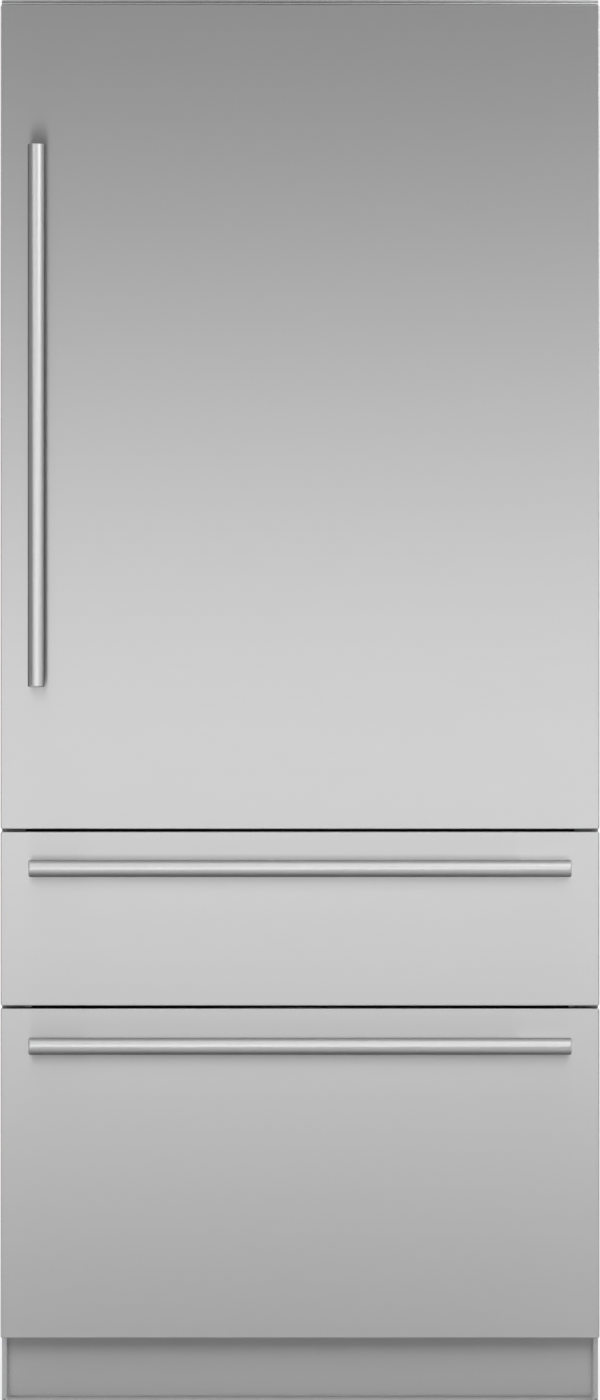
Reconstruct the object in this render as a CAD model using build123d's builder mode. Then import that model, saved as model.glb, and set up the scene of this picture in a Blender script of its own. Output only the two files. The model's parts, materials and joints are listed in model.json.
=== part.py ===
from build123d import *
import os

# Built-in fridge freezer: one fridge door over two drawers, all in stainless steel.
# Millimetres. X runs to the right and Y to the back, as seen from the front, and Z runs up.
# The origin is on the floor, in the middle of the footprint, with the bars counted in.

# Overall
width = 908.0
height = 2134.0
body_depth = 635.0
toe_height = 100.0
lower_front_height = 500.0
upper_front_height = 264.0
front_gap = 4.0
top_reveal = 12.0
front_to_case = 45.0

# Door and drawer fronts
skin_sheet = 1.2
front_return = 38.0
front_corner = 3.0
front_edge_round = 1.5
gasket_side_inset = 20.0
gasket_end_inset = 12.0
gasket_width = 18.0
gasket_base = 3.0
drawer_plug_depth = 12.0
dike_depth = 40.0
dike_width = 25.0
dike_clearance = 12.0
dike_corner = 14.0
dike_edge_round = 6.0

# Bars
bar_diameter = 25.4
bar_length = 819.0
bar_standoff = 51.3
bar_side_inset = 56.0
bar_drop = 54.5
bar_end_round = 2.5
foot_length = 82.0
foot_thickness = 15.0
foot_corner = 4.0

# Case
case_sheet = 1.5
case_floor_gap = 1.0
side_wall = 45.0
back_wall = 60.0
end_margin = 34.0
liner_sheet = 2.0
liner_lip = 9.0
liner_corner = 12.0
rear_sheet = 3.0
rear_inset = 2.0
rear_bead_depth = 1.5
rear_bead_width = 14.0
rear_bead_count = 5
crossbar_depth = 26.0
drawer_crossbar_depth = 50.0
toe_hem = 5.4
toe_hem_gap = 3.0
trim_depth = 8.0
trim_gap = 1.5
trim_lip = 1.5
trim_groove = 1.5
trim_groove_depth = 5.0
cut_past = 1.0

# Holes that fix the case to the furniture beside it
fixing_hole = 5.0
fixing_depth = 24.0
fixing_inset = 30.0
fixing_spacing_y = 60.0
fixing_low = 700.0
fixing_spacing_z = 1200.0

# Base, machine compartment and what stands in it
pan_sheet = 1.5
machine_depth = 209.5
machine_top = 262.0
insulation = 40.0
rail_height = 78.5
rail_sheet = 3.0
rail_width = 47.5
rail_setback = 58.5
toe_recess = 50.5
toe_side_gap = 7.0
toe_floor_gap = 3.0
toe_sheet = 1.2
cover_sheet = 1.2
base_slots = 5
base_slot_length = 81.0
base_slot_height = 26.0

# Legs and rollers
leg_inset = 27.0
leg_setback = 90.5
stem_diameter = 12.0
stem_play = 0.05
stem_top = 88.0
stem_chamfer = 1.0
pad_diameter = 42.0
pad_height = 7.0
pad_taper = 30.0
nut_flats = 19.0
nut_height = 5.0
roller_diameter = 56.0
roller_width = 24.0
roller_crown = 2.5
roller_bore_play = 0.05
axle_diameter = 10.0
roller_inset = 29.0
roller_setback = 59.5
roller_room = 5.0

# Hinge
pivot_inset = 14.0
pivot_depth = 20.5
pin_diameter = 12.0
pin_play = 0.05
pin_length = 20.0
hinge_plate = 8.0
hinge_arm_width = 24.0
hinge_foot_width = 60.0
hinge_foot_height = 9.5
hinge_foot_sheet = 4.0
hinge_lift = 3.5
hinge_screw = 4.5
pocket_reach = 17.0
pocket_height = 16.0
bushing_wall = 3.0
bushing_flange = 1.5

# Telescopic slides
slide_length = 450.0
slide_height = 45.0
slide_depth = 12.7
slide_sheet = 1.5
slide_lip = 3.5
slide_start = 12.5
ball_room = 3.5
ball_play = 0.2
cage_length = 120.0
cage_sheet = 2.0
slide_web_gap = 3.0
upper_slide_rise = 52.0
lower_slide_rise = 211.0
slide_hole = 6.0

# Tubs
tub_wall = 3.0
tub_corner = 14.0
tub_floor_gap = 12.0
tub_rim = 5.0
tub_rim_height = 3.0
upper_tub_height = 150.0
upper_tub_depth = 430.0
lower_tub_height = 355.0
lower_tub_depth = 322.0

# Shelves
ladder_width = 24.0
ladder_depth = 10.0
ladder_sheet = 1.5
ladder_spread = 250.0
ladder_low = 264.0
ladder_top_gap = 28.0
slot_width = 5.0
slot_height = 16.0
slot_pitch = 32.0
shelf_side_gap = 12.0
shelf_front = 120.0
shelf_depth = 375.0
shelf_frame_width = 15.0
shelf_frame_height = 16.0
pane_thickness = 5.0
pane_ledge = 8.0
pane_play = 0.5
shelf_slots = (0, 5, 12, 19)
arm_sheet = 3.0
arm_back_height = 34.0
arm_front_height = 12.0
arm_front_gap = 60.0
hook_reach = 5.0

# Crispers
crisper_wall = 2.5
crisper_corner = 10.0
crisper_side_gap = 37.0
crisper_floor_gap = 8.0
crisper_top_gap = 4.0
crisper_depth = 360.0
crisper_front_sheet = 5.0
crisper_grip = 16.0
crisper_rim = 6.0
crisper_rim_height = 3.0
crisper_middle_gap = 16.0
rail_play = 0.5
rail_lip_sheet = 3.0

# Door bins
bin_wall = 2.5
bin_depth = 108.0
bin_lean = 12.0
bin_height = 100.0
bin_round = 16.0
ledge_reach = 8.0
ledge_height = 6.0
ledge_depth = 24.0
lower_bin_rise = 290.0
dairy_top_gap = 238.0
dairy_height = 84.0
dairy_width = 352.0
lid_sheet = 3.0
lid_gap = 1.0
lid_lip = 22.0
lid_pin = 6.0
lid_pin_play = 0.05
lid_pin_set = 12.0
lid_pin_length = 5.0
ear_height = 16.0

# Cold side and controls
duct_width = 260.0
duct_depth = 27.0
duct_wall = 2.5
duct_slots = 6
evaporator_cover_depth = 50.0
evaporator_cover_sheet = 3.0
evaporator_cover_gap = 8.0
control_width = 420.0
control_depth = 140.0
control_height = 40.0
control_setback = 46.0
light_width = 360.0
light_depth = 90.0
light_height = 10.0

# Evaporator
fin_sheet = 1.0
tube_pitch = 44.0
tube_diameter = 8.0
evaporator_width = 600.0
evaporator_rise = 60.0
evaporator_fin_reach = 18.0
evaporator_rows = 6
evaporator_fins = 12
grille_count = 5
grille_length = 100.0
grille_height = 12.0
grille_spread = 188.0

# Compressor
compressor_inset = 150.0
compressor_radius = 76.0
compressor_lift = 12.0
shell_height = 172.0
shell_round = 40.0
seam_reach = 4.0
plate_length = 205.0
plate_width = 130.0
plate_sheet = 3.0
plate_corner = 20.0
grommet_radius = 9.0
grommet_hole = 4.5
grommet_inset = 16.0
terminal_reach = 24.0
terminal_size = 60.0
terminal_rise = 55.0
terminal_corner = 8.0
stub_x = 45.0
stub_spacing = 40.0
stub_height = 28.0

# Condenser, its drying tray and its fan
condenser_side_gap = 20.0
condenser_length = 280.0
condenser_lift = 42.0
condenser_depth = 120.0
condenser_rows = 4
condenser_fins = 12
bend_overhang = 14.0
flat_tube_width = 60.0
flat_tube_height = 4.0
header_diameter = 10.0
bend_play = 0.1
pipe_diameter = 6.0
pipe_bend = 12.0
pipe_front_gap = 10.0
pipe_back_gap = 14.0
pipe_top = 248.0
drier_diameter = 18.0
drier_low = 110.0
drier_high = 190.0
tray_wall = 2.0
tray_height = 30.0
tray_gap = 6.0
tray_lean = 4.0
fan_spacing = 58.0
fan_z = 140.0
fan_radius = 70.0
fan_gap = 5.0
shroud_width = 170.0
shroud_sheet = 3.0
collar_depth = 22.0
motor_radius = 20.0
motor_length = 26.0
strut_width = 8.0
shaft_diameter = 6.0
shaft_play = 0.05
hub_radius = 18.0
hub_length = 20.0
hub_gap = 2.0
hub_round = 4.0
blade_count = 5
blade_sheet = 2.5
blade_root_chord = 16.0
blade_tip_chord = 34.0
blade_root_pitch = 50.0
blade_tip_pitch = 28.0

# Louvres and mains inlet at the back
louvre_columns = 4
louvre_rows = 7
louvre_side_margin = 30.0
louvre_land = 50.0
louvre_height = 7.0
louvre_pitch = 20.0
inlet_inset = 59.0
inlet_z = 205.0
inlet_width = 50.0
inlet_height = 27.0
inlet_depth = 26.0
inlet_flange = 3.0
socket_width = 24.0
socket_height = 16.0
socket_depth = 18.0
pin_sheet = 2.0
pin_width = 4.0
pin_blade = 12.0
pin_spacing = 14.0
pin_drop = 2.0

# Places worked out from the sizes above
half = width / 2
back = (body_depth + bar_standoff + bar_diameter / 2) / 2
face = back - body_depth
rear_face = back - rear_inset
case_front = face + front_to_case
front_back = face + front_return
lower_low = toe_height
lower_high = lower_low + lower_front_height
upper_low = lower_high + front_gap
upper_high = upper_low + upper_front_height
door_low = upper_high + front_gap
door_high = height - top_reveal
door_middle = (door_low + door_high) / 2
room_half = half - side_wall
room_back = back - back_wall
flange_half = room_half + liner_lip
fridge_low = door_low + end_margin
fridge_high = door_high - end_margin
freezer_low = lower_low + end_margin
freezer_high = upper_high - end_margin
middle_low = lower_high - end_margin
middle_high = upper_low + end_margin
machine_front = back - machine_depth
step_front = machine_front - insulation
step_top = machine_top + insulation
pan_low = toe_height - pan_sheet
rail_low = pan_low - rail_height
machine_floor = rail_low + rail_sheet
machine_y = (machine_front + pan_sheet + rear_face - cover_sheet) / 2
rail_outer = half - case_sheet
rail_inner = rail_outer - rail_width
compressor_x = rail_inner - compressor_inset
condenser_left = condenser_side_gap - rail_inner
condenser_right = condenser_left + condenser_length
fan_x = condenser_right + fan_spacing
inlet_x = half - inlet_inset
leg_x = half - leg_inset
leg_y = case_front + leg_setback
roller_x = half - roller_inset
roller_y = back - roller_setback
roller_z = roller_diameter / 2
pivot_x = half - pivot_inset
pivot_y = face + pivot_depth
tub_half = room_half - slide_depth
tub_front = front_back + drawer_plug_depth
upper_slide_z = middle_high + upper_slide_rise
lower_slide_z = freezer_low + lower_slide_rise
slide_front = case_front + slide_start
ladder_bottom = fridge_low + ladder_low
ladder_top = fridge_high - ladder_top_gap
dike_half = room_half - dike_clearance
bay_half = dike_half - dike_width
dairy_top = fridge_high - dairy_top_gap
dairy_low = dairy_top - dairy_height
dairy_right = dairy_width - bay_half
lower_bin_low = fridge_low + lower_bin_rise
middle_bin_low = (lower_bin_low + dairy_low) / 2


def facing(y):
    """Upright plane at depth y that looks to the front: local x is X and local y is Z."""
    return Plane.XZ.offset(-y)


def beside(x):
    """Upright plane at x that looks to the right: local x is Y and local y is Z."""
    return Plane.YZ.offset(x)


def level(z):
    """Flat plane at height z: local x is X and local y is Y."""
    return Plane.XY.offset(z)


def area(u_low, u_high, v_low, v_high, corner=0.0, mode=Mode.ADD):
    """Rectangle between two bounds on each axis of the sketch it stands in."""
    with Locations(((u_low + u_high) / 2, (v_low + v_high) / 2)):
        if corner > 0:
            RectangleRounded(u_high - u_low, v_high - v_low, corner, mode=mode)
        else:
            Rectangle(u_high - u_low, v_high - v_low, mode=mode)


def keep(piece, label):
    """Names a finished piece and writes it to its own file."""
    piece.part.label = label
    export_step(piece.part, f"parts/{label}.step")


os.makedirs("parts", exist_ok=True)

# Rooms of the two compartments, which their liners wrap and the foam leaves free
with BuildPart() as fridge_room:
    with BuildSketch(facing(case_front)):
        area(-room_half, room_half, fridge_low, fridge_high, liner_corner)
    extrude(amount=case_front - room_back)

freezer_room_outline = (
    (case_front, freezer_low),
    (step_front, freezer_low),
    (step_front, step_top),
    (room_back, step_top),
    (room_back, freezer_high),
    (case_front, freezer_high),
)
with BuildPart() as freezer_room:
    with BuildSketch(Plane.YZ):
        with BuildLine():
            Polyline(freezer_room_outline, close=True)
        make_face()
    extrude(amount=room_half, both=True)
    fillet(freezer_room.edges().filter_by(Axis.Y), liner_corner)

with BuildPart() as fridge_liner:
    with BuildSketch(facing(case_front)):
        area(
            -room_half - liner_sheet,
            room_half + liner_sheet,
            fridge_low - liner_sheet,
            fridge_high + liner_sheet,
            liner_corner + liner_sheet,
        )
    extrude(amount=case_front - room_back - liner_sheet)
    with BuildSketch(facing(case_front)):
        area(-flange_half, flange_half, fridge_low - liner_lip, fridge_high + liner_lip)
    extrude(amount=-liner_sheet)
    add(fridge_room.part, mode=Mode.SUBTRACT)
keep(fridge_liner, "fridge_liner")

with BuildPart() as freezer_liner:
    with BuildSketch(Plane.YZ):
        with BuildLine():
            Polyline(
                (case_front, freezer_low - liner_sheet),
                (step_front + liner_sheet, freezer_low - liner_sheet),
                (step_front + liner_sheet, step_top - liner_sheet),
                (room_back + liner_sheet, step_top - liner_sheet),
                (room_back + liner_sheet, freezer_high + liner_sheet),
                (case_front, freezer_high + liner_sheet),
                close=True,
            )
        make_face()
    extrude(amount=room_half + liner_sheet, both=True)
    with BuildSketch(facing(case_front)):
        area(-flange_half, flange_half, freezer_low - liner_lip, freezer_high + liner_lip)
    extrude(amount=-liner_sheet)
    add(freezer_room.part, mode=Mode.SUBTRACT)
keep(freezer_liner, "freezer_liner")

# Holes in the case's sides, with room behind them for the screws
with BuildPart() as side_fixings:
    for side in (-1, 1):
        with BuildSketch(beside(side * half)):
            with Locations(
                (
                    case_front + fixing_inset + fixing_spacing_y / 2,
                    fixing_low + fixing_spacing_z / 2,
                )
            ):
                with GridLocations(fixing_spacing_y, fixing_spacing_z, 2, 2):
                    Circle(fixing_hole / 2)
        extrude(amount=-side * fixing_depth)

with BuildPart() as outer_case:
    with BuildSketch(facing(case_front)):
        area(-half, half, case_floor_gap, height)
    extrude(amount=case_front - back)
    with BuildSketch(facing(case_front + case_sheet)):
        area(case_sheet - half, half - case_sheet, 0, height - case_sheet)
    extrude(amount=-body_depth, mode=Mode.SUBTRACT)
    with BuildSketch(facing(case_front)):
        area(-flange_half, flange_half, 0, fridge_high + liner_lip)
        area(toe_hem - half, half - toe_hem, 0, toe_height - toe_hem_gap)
    extrude(amount=-case_sheet, mode=Mode.SUBTRACT)
    add(side_fixings.part, mode=Mode.SUBTRACT)
keep(outer_case, "outer_case")

# Steel channels across the front, and the closed bar between the drawers
with BuildPart() as crossbars:
    for low, high in (
        (toe_height, freezer_low - liner_lip),
        (freezer_high + liner_lip, fridge_low - liner_lip),
    ):
        with BuildSketch(Plane.YZ):
            area(case_front, case_front + crossbar_depth, low, high)
            area(
                case_front + case_sheet,
                case_front + crossbar_depth,
                low + case_sheet,
                high - case_sheet,
                mode=Mode.SUBTRACT,
            )
        extrude(amount=flange_half, both=True)
    with BuildSketch(Plane.YZ):
        area(case_front, case_front + drawer_crossbar_depth, middle_low, middle_high)
        area(
            case_front + case_sheet,
            case_front + drawer_crossbar_depth - case_sheet,
            middle_low + case_sheet,
            middle_high - case_sheet,
            mode=Mode.SUBTRACT,
        )
    extrude(amount=room_half, both=True)
keep(crossbars, "crossbars")

# Pressed sheet at the back, stiffened by beads
with BuildPart() as rear_panel:
    with BuildSketch(facing(rear_face)):
        area(case_sheet - half, half - case_sheet, machine_top, height - case_sheet)
    extrude(amount=rear_sheet)
    bead_pitch = (height - machine_top) / (rear_bead_count + 1)
    with BuildSketch(facing(rear_face)):
        with Locations((0, (height + machine_top) / 2)):
            with GridLocations(0, bead_pitch, 1, rear_bead_count):
                SlotOverall(width - 4 * side_wall, rear_bead_width)
    extrude(amount=rear_bead_depth, mode=Mode.SUBTRACT)
keep(rear_panel, "rear_panel")

# Chassis: the stepped pan under the foam, two side rails, a front member and a floor behind
with BuildPart() as base_frame:
    with BuildSketch(Plane.YZ):
        with BuildLine():
            Polyline(
                (case_front + case_sheet, pan_low),
                (machine_front + pan_sheet, pan_low),
                (machine_front + pan_sheet, machine_top - pan_sheet),
                (rear_face, machine_top - pan_sheet),
                (rear_face, machine_top),
                (machine_front, machine_top),
                (machine_front, toe_height),
                (case_front + case_sheet, toe_height),
                close=True,
            )
        make_face()
    extrude(amount=half - case_sheet, both=True)
    with BuildSketch(facing(case_front + rail_setback)):
        for side in (-1, 1):
            edges_x = sorted((side * rail_inner, side * rail_outer))
            web_x = sorted((side * (rail_outer - rail_sheet), side * rail_outer))
            area(*edges_x, rail_low, machine_floor)
            area(*edges_x, pan_low - rail_sheet, pan_low)
            area(*web_x, rail_low, pan_low)
    extrude(amount=case_front + rail_setback + cover_sheet - rear_face)
    with BuildSketch(facing(case_front + rail_setback)):
        area(-rail_inner, rail_inner, rail_low, pan_low)
    extrude(amount=-rail_sheet)
    with BuildSketch(facing(case_front + rail_setback)):
        with Locations((0, (rail_low + pan_low) / 2)):
            with GridLocations(2 * rail_inner / (base_slots + 1), 0, base_slots, 1):
                SlotOverall(base_slot_length, base_slot_height)
    extrude(amount=-rail_sheet, mode=Mode.SUBTRACT)
    with BuildSketch(level(rail_low)):
        area(-rail_inner, rail_inner, machine_front, rear_face - cover_sheet)
    extrude(amount=rail_sheet)
    roller_reach = roller_diameter / 2 + roller_room
    for side in (-1, 1):
        with BuildSketch(level(rail_low)):
            area(
                side * roller_x - roller_width / 2 - roller_room,
                side * roller_x + roller_width / 2 + roller_room,
                roller_y - roller_reach,
                roller_y + roller_reach,
            )
        extrude(amount=rail_sheet, mode=Mode.SUBTRACT)
        with BuildSketch(beside(side * rail_inner)):
            area(roller_y - roller_reach, roller_y + roller_reach, rail_low, pan_low)
        extrude(amount=side * rail_sheet)
        with BuildSketch(beside(side * rail_inner)):
            with Locations((roller_y, roller_z)):
                Circle(axle_diameter / 2)
        extrude(amount=side * rail_width)
    with BuildSketch(level(rail_low - nut_height)):
        with Locations((-leg_x, leg_y), (leg_x, leg_y)):
            RegularPolygon(nut_flats / 2, 6, major_radius=False)
    extrude(amount=nut_height + rail_sheet / 2)
    with BuildSketch(level(rail_low - nut_height)):
        with Locations((-leg_x, leg_y), (leg_x, leg_y)):
            Circle(stem_diameter / 2 + stem_play)
    extrude(amount=nut_height + 2 * rail_sheet, mode=Mode.SUBTRACT)
keep(base_frame, "base_frame")

# Foam between the case and the liners, cut by everything that stands in it
with BuildPart() as foam_insulation:
    with BuildSketch(Plane.YZ):
        with BuildLine():
            Polyline(
                (case_front + case_sheet, toe_height),
                (machine_front, toe_height),
                (machine_front, machine_top),
                (rear_face - rear_sheet, machine_top),
                (rear_face - rear_sheet, height - case_sheet),
                (case_front + case_sheet, height - case_sheet),
                close=True,
            )
        make_face()
    extrude(amount=half - case_sheet, both=True)
    add(fridge_room.part, mode=Mode.SUBTRACT)
    add(freezer_room.part, mode=Mode.SUBTRACT)
    add(fridge_liner.part, mode=Mode.SUBTRACT)
    add(freezer_liner.part, mode=Mode.SUBTRACT)
    add(crossbars.part, mode=Mode.SUBTRACT)
    add(side_fixings.part, mode=Mode.SUBTRACT)
keep(foam_insulation, "foam_insulation")

with BuildPart() as top_trim:
    with BuildSketch(Plane.YZ):
        area(case_front - trim_depth, case_front, door_high + trim_gap, height)
        area(
            case_front - trim_depth,
            case_front - trim_depth + trim_groove_depth,
            height - trim_lip - trim_groove,
            height - trim_lip,
            mode=Mode.SUBTRACT,
        )
    extrude(amount=half, both=True)
keep(top_trim, "top_trim")

toe_front = case_front + toe_recess
toe_return = rail_setback - toe_recess
with BuildPart() as toe_kick:
    with BuildSketch(facing(toe_front)):
        area(toe_side_gap - half, half - toe_side_gap, toe_floor_gap, pan_low - case_sheet)
    extrude(amount=-toe_return)
    with BuildSketch(facing(toe_front + toe_sheet)):
        area(
            toe_side_gap + toe_sheet - half,
            half - toe_side_gap - toe_sheet,
            toe_floor_gap + toe_sheet,
            pan_low - case_sheet - toe_sheet,
        )
    extrude(amount=-toe_return, mode=Mode.SUBTRACT)
keep(toe_kick, "toe_kick")


def make_leg(side):
    """Levelling leg: a stem with a hexagon to turn it by, on a tapered pad."""
    with BuildPart() as leg:
        with BuildSketch(level(0)):
            with Locations((side * leg_x, leg_y)):
                Circle(pad_diameter / 2)
        extrude(amount=pad_height, taper=pad_taper)
        with BuildSketch(level(pad_height)):
            with Locations((side * leg_x, leg_y)):
                RegularPolygon(nut_flats / 2, 6, major_radius=False)
        extrude(amount=nut_height)
        with BuildSketch(level(pad_height)):
            with Locations((side * leg_x, leg_y)):
                Circle(stem_diameter / 2)
        extrude(amount=stem_top - pad_height)
        chamfer(leg.faces().sort_by(Axis.Z)[-1].edges(), stem_chamfer)
    return leg


def make_roller(side):
    """Crowned roller on the base frame's axle."""
    with BuildPart() as roller:
        with BuildSketch(beside(side * roller_x - roller_width / 2)):
            with Locations((roller_y, roller_z)):
                Circle(roller_diameter / 2)
                Circle(axle_diameter / 2 + roller_bore_play, mode=Mode.SUBTRACT)
        extrude(amount=roller_width)
        rims = roller.edges().filter_by(GeomType.CIRCLE).group_by(SortBy.RADIUS)[-1]
        chamfer(rims, roller_crown)
    return roller


for side, name in ((-1, "left"), (1, "right")):
    keep(make_leg(side), f"{name}_leg")
    keep(make_roller(side), f"{name}_roller")


# Space in the door's two hinge corners, open to the side and the back
with BuildPart() as hinge_pockets:
    with BuildSketch(level(door_low)):
        with Locations((pivot_x, pivot_y)):
            Circle(pocket_reach)
        area(pivot_x - pocket_reach, half + cut_past, pivot_y, front_back + cut_past)
        area(pivot_x, half + cut_past, pivot_y - pocket_reach, front_back + cut_past)
    extrude(amount=pocket_height)
    with BuildSketch(level(door_low + pocket_height)):
        with Locations((pivot_x, pivot_y)):
            Circle(pin_diameter / 2 + bushing_wall)
    extrude(amount=pin_length)
    mirror(about=level(door_middle))


def make_skin(low, high, pockets=None):
    """Folded stainless pan of a front, open at the back."""
    with BuildPart() as pan:
        with BuildSketch(facing(face)):
            area(-half, half, low, high, front_corner)
        extrude(amount=-front_return)
        fillet(pan.faces().sort_by(Axis.Y)[0].edges(), front_edge_round)
        with BuildSketch(facing(face + skin_sheet)):
            area(
                skin_sheet - half,
                half - skin_sheet,
                low + skin_sheet,
                high - skin_sheet,
                front_corner - skin_sheet,
            )
        extrude(amount=-front_return, mode=Mode.SUBTRACT)
        if pockets:
            add(pockets.part, mode=Mode.SUBTRACT)
    return pan


def make_gasket(low, high):
    """Magnetic gasket: a wide foot on the front and a narrower bulb against the case."""
    middle = gasket_width / 2
    with BuildPart() as gasket:
        for near, far, reach in (
            (front_back, front_back + gasket_base, gasket_width / 2),
            (front_back + gasket_base, case_front, gasket_width / 3),
        ):
            with BuildSketch(facing(near)):
                area(
                    gasket_side_inset + middle - reach - half,
                    half - gasket_side_inset - middle + reach,
                    low + gasket_end_inset + middle - reach,
                    high - gasket_end_inset - middle + reach,
                    gasket_width / 2,
                )
                area(
                    gasket_side_inset + middle + reach - half,
                    half - gasket_side_inset - middle - reach,
                    low + gasket_end_inset + middle + reach,
                    high - gasket_end_inset - middle - reach,
                    gasket_width / 4,
                    mode=Mode.SUBTRACT,
                )
            extrude(amount=near - far)
    return gasket


def make_drawer_panel(low, high):
    """Foam-filled inner panel of a drawer front, with the plug that enters the case."""
    with BuildPart() as panel:
        with BuildSketch(facing(face + skin_sheet)):
            area(
                skin_sheet - half,
                half - skin_sheet,
                low + skin_sheet,
                high - skin_sheet,
                front_corner - skin_sheet,
            )
        extrude(amount=skin_sheet - front_return)
        with BuildSketch(facing(front_back)):
            area(
                -dike_half,
                dike_half,
                low + end_margin + dike_clearance,
                high - end_margin - dike_clearance,
                dike_corner,
            )
        extrude(amount=-drawer_plug_depth)
        fillet(panel.faces().sort_by(Axis.Y)[-1].edges(), drawer_plug_depth / 3)
    return panel


def make_bar(x, z, along):
    """Round bar with softened ends, centred in front of (x, z)."""
    start = Vector(x, face - bar_standoff, z) - Vector(*along) * (bar_length / 2)
    with BuildPart() as bar:
        with BuildSketch(Plane(origin=start, z_dir=along)):
            Circle(bar_diameter / 2)
        extrude(amount=bar_length)
        fillet(bar.edges().filter_by(GeomType.CIRCLE), bar_end_round)
    return bar


def make_feet(x, z, along, bar):
    """Two blade feet, flush with the bar's ends and hollowed where they carry it."""
    with BuildPart() as feet:
        with BuildSketch(Plane(origin=(x, face, z), x_dir=along, z_dir=(0, -1, 0))):
            with GridLocations(bar_length - foot_length, 0, 2, 1):
                RectangleRounded(foot_length, foot_thickness, foot_corner)
        extrude(amount=bar_standoff)
        add(bar.part, mode=Mode.SUBTRACT)
    return feet


for name, low, high in (
    ("upper_drawer", upper_low, upper_high),
    ("lower_drawer", lower_low, lower_high),
):
    bar = make_bar(0, high - bar_drop, (1, 0, 0))
    keep(make_skin(low, high), f"{name}_skin")
    keep(make_drawer_panel(low, high), f"{name}_panel")
    keep(make_gasket(low, high), f"{name}_gasket")
    keep(bar, f"{name}_bar")
    keep(make_feet(0, high - bar_drop, (1, 0, 0), bar), f"{name}_bar_feet")

door_bar = make_bar(bar_side_inset - half, door_middle, (0, 0, 1))
keep(make_skin(door_low, door_high, hinge_pockets), "door_skin")
keep(make_gasket(door_low, door_high), "door_gasket")
keep(door_bar, "door_bar")
keep(make_feet(bar_side_inset - half, door_middle, (0, 0, 1), door_bar), "door_bar_feet")

# Foam-filled inner panel of the door, with a raised dike and the ledges that the bins stand on
with BuildPart() as door_panel:
    with BuildSketch(facing(face + skin_sheet)):
        area(
            skin_sheet - half,
            half - skin_sheet,
            door_low + skin_sheet,
            door_high - skin_sheet,
            front_corner - skin_sheet,
        )
    extrude(amount=skin_sheet - front_return)
    with BuildSketch(facing(front_back)):
        area(
            -dike_half,
            dike_half,
            fridge_low + dike_clearance,
            fridge_high - dike_clearance,
            dike_corner,
        )
        area(
            -bay_half,
            bay_half,
            fridge_low + dike_clearance + dike_width,
            fridge_high - dike_clearance - dike_width,
            dike_corner,
            mode=Mode.SUBTRACT,
        )
    extrude(amount=-dike_depth)
    fillet(door_panel.faces().sort_by(Axis.Y)[-1].edges(), dike_edge_round)
    with BuildSketch(facing(front_back)):
        for right, bin_low in (
            (bay_half, lower_bin_low),
            (bay_half, middle_bin_low),
            (dairy_right, dairy_low),
        ):
            area(-bay_half, ledge_reach - bay_half, bin_low - ledge_height, bin_low)
            area(right - ledge_reach, right, bin_low - ledge_height, bin_low)
    extrude(amount=-ledge_depth)
    add(hinge_pockets.part, mode=Mode.SUBTRACT)
keep(door_panel, "door_panel")

# Plastic bushings in the door, one on each hinge pin
with BuildPart() as hinge_bushings:
    with BuildSketch(level(door_low + pocket_height)):
        with Locations((pivot_x, pivot_y)):
            Circle(pin_diameter / 2 + bushing_wall)
            Circle(pin_diameter / 2 + pin_play, mode=Mode.SUBTRACT)
    extrude(amount=pin_length)
    with BuildSketch(level(door_low + pocket_height)):
        with Locations((pivot_x, pivot_y)):
            Circle(pin_diameter / 2 + 2 * bushing_wall)
            Circle(pin_diameter / 2 + pin_play, mode=Mode.SUBTRACT)
    extrude(amount=-bushing_flange)
    mirror(about=level(door_middle))
keep(hinge_bushings, "hinge_bushings")

# Hinge brackets: a foot on the case's flange, an arm into the pocket, and the pin
plate_low = door_low + hinge_lift
with BuildPart() as hinge_brackets:
    with BuildSketch(level(plate_low)):
        with Locations((pivot_x, pivot_y)):
            Circle(hinge_arm_width / 2)
        area(
            pivot_x - hinge_arm_width / 2,
            pivot_x + hinge_arm_width / 2,
            pivot_y,
            case_front,
        )
    extrude(amount=hinge_plate)
    with BuildSketch(facing(case_front - hinge_foot_sheet)):
        area(
            pivot_x + hinge_arm_width / 2 - hinge_foot_width,
            pivot_x + hinge_arm_width / 2,
            plate_low + hinge_plate - hinge_foot_height,
            plate_low + hinge_plate,
        )
    extrude(amount=-hinge_foot_sheet)
    with BuildSketch(facing(case_front - hinge_foot_sheet)):
        with Locations(
            (pivot_x - hinge_foot_width / 2, plate_low + hinge_plate - hinge_foot_height / 2)
        ):
            with GridLocations(hinge_foot_width / 4, 0, 2, 1):
                Circle(hinge_screw / 2)
    extrude(amount=-hinge_foot_sheet, mode=Mode.SUBTRACT)
    with BuildSketch(level(plate_low)):
        with Locations((pivot_x, pivot_y)):
            Circle(pin_diameter / 2)
    extrude(amount=door_low + pocket_height + pin_length - plate_low)
    mirror(about=level(door_middle))
keep(hinge_brackets, "hinge_brackets")


# Telescopic slides. Heights of the three members leave room for the balls between them.
outer_top = slide_height / 2
middle_top = outer_top - slide_sheet - ball_room
inner_top = middle_top - slide_sheet - ball_room
wall_x = room_half
middle_web = wall_x - slide_sheet - slide_web_gap
inner_web = wall_x - slide_depth
cage_low = inner_web + slide_sheet + ball_play


def band(x_a, x_b, z_a, z_b, centre, mode=Mode.ADD):
    """Part of a slide's section, on both sides of the case and both sides of its centre."""
    for side in (-1, 1):
        for up in (-1, 1):
            across = sorted((side * x_a, side * x_b))
            upright = sorted((centre + up * z_a, centre + up * z_b))
            area(*across, *upright, mode=mode)


def screw_slots(z, count):
    """Row of screw slots along a slide's web."""
    with Locations((slide_front + slide_length / 2, z)):
        with GridLocations(slide_length / count, 0, count, 1):
            SlotOverall(3 * slide_hole, slide_hole)


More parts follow.
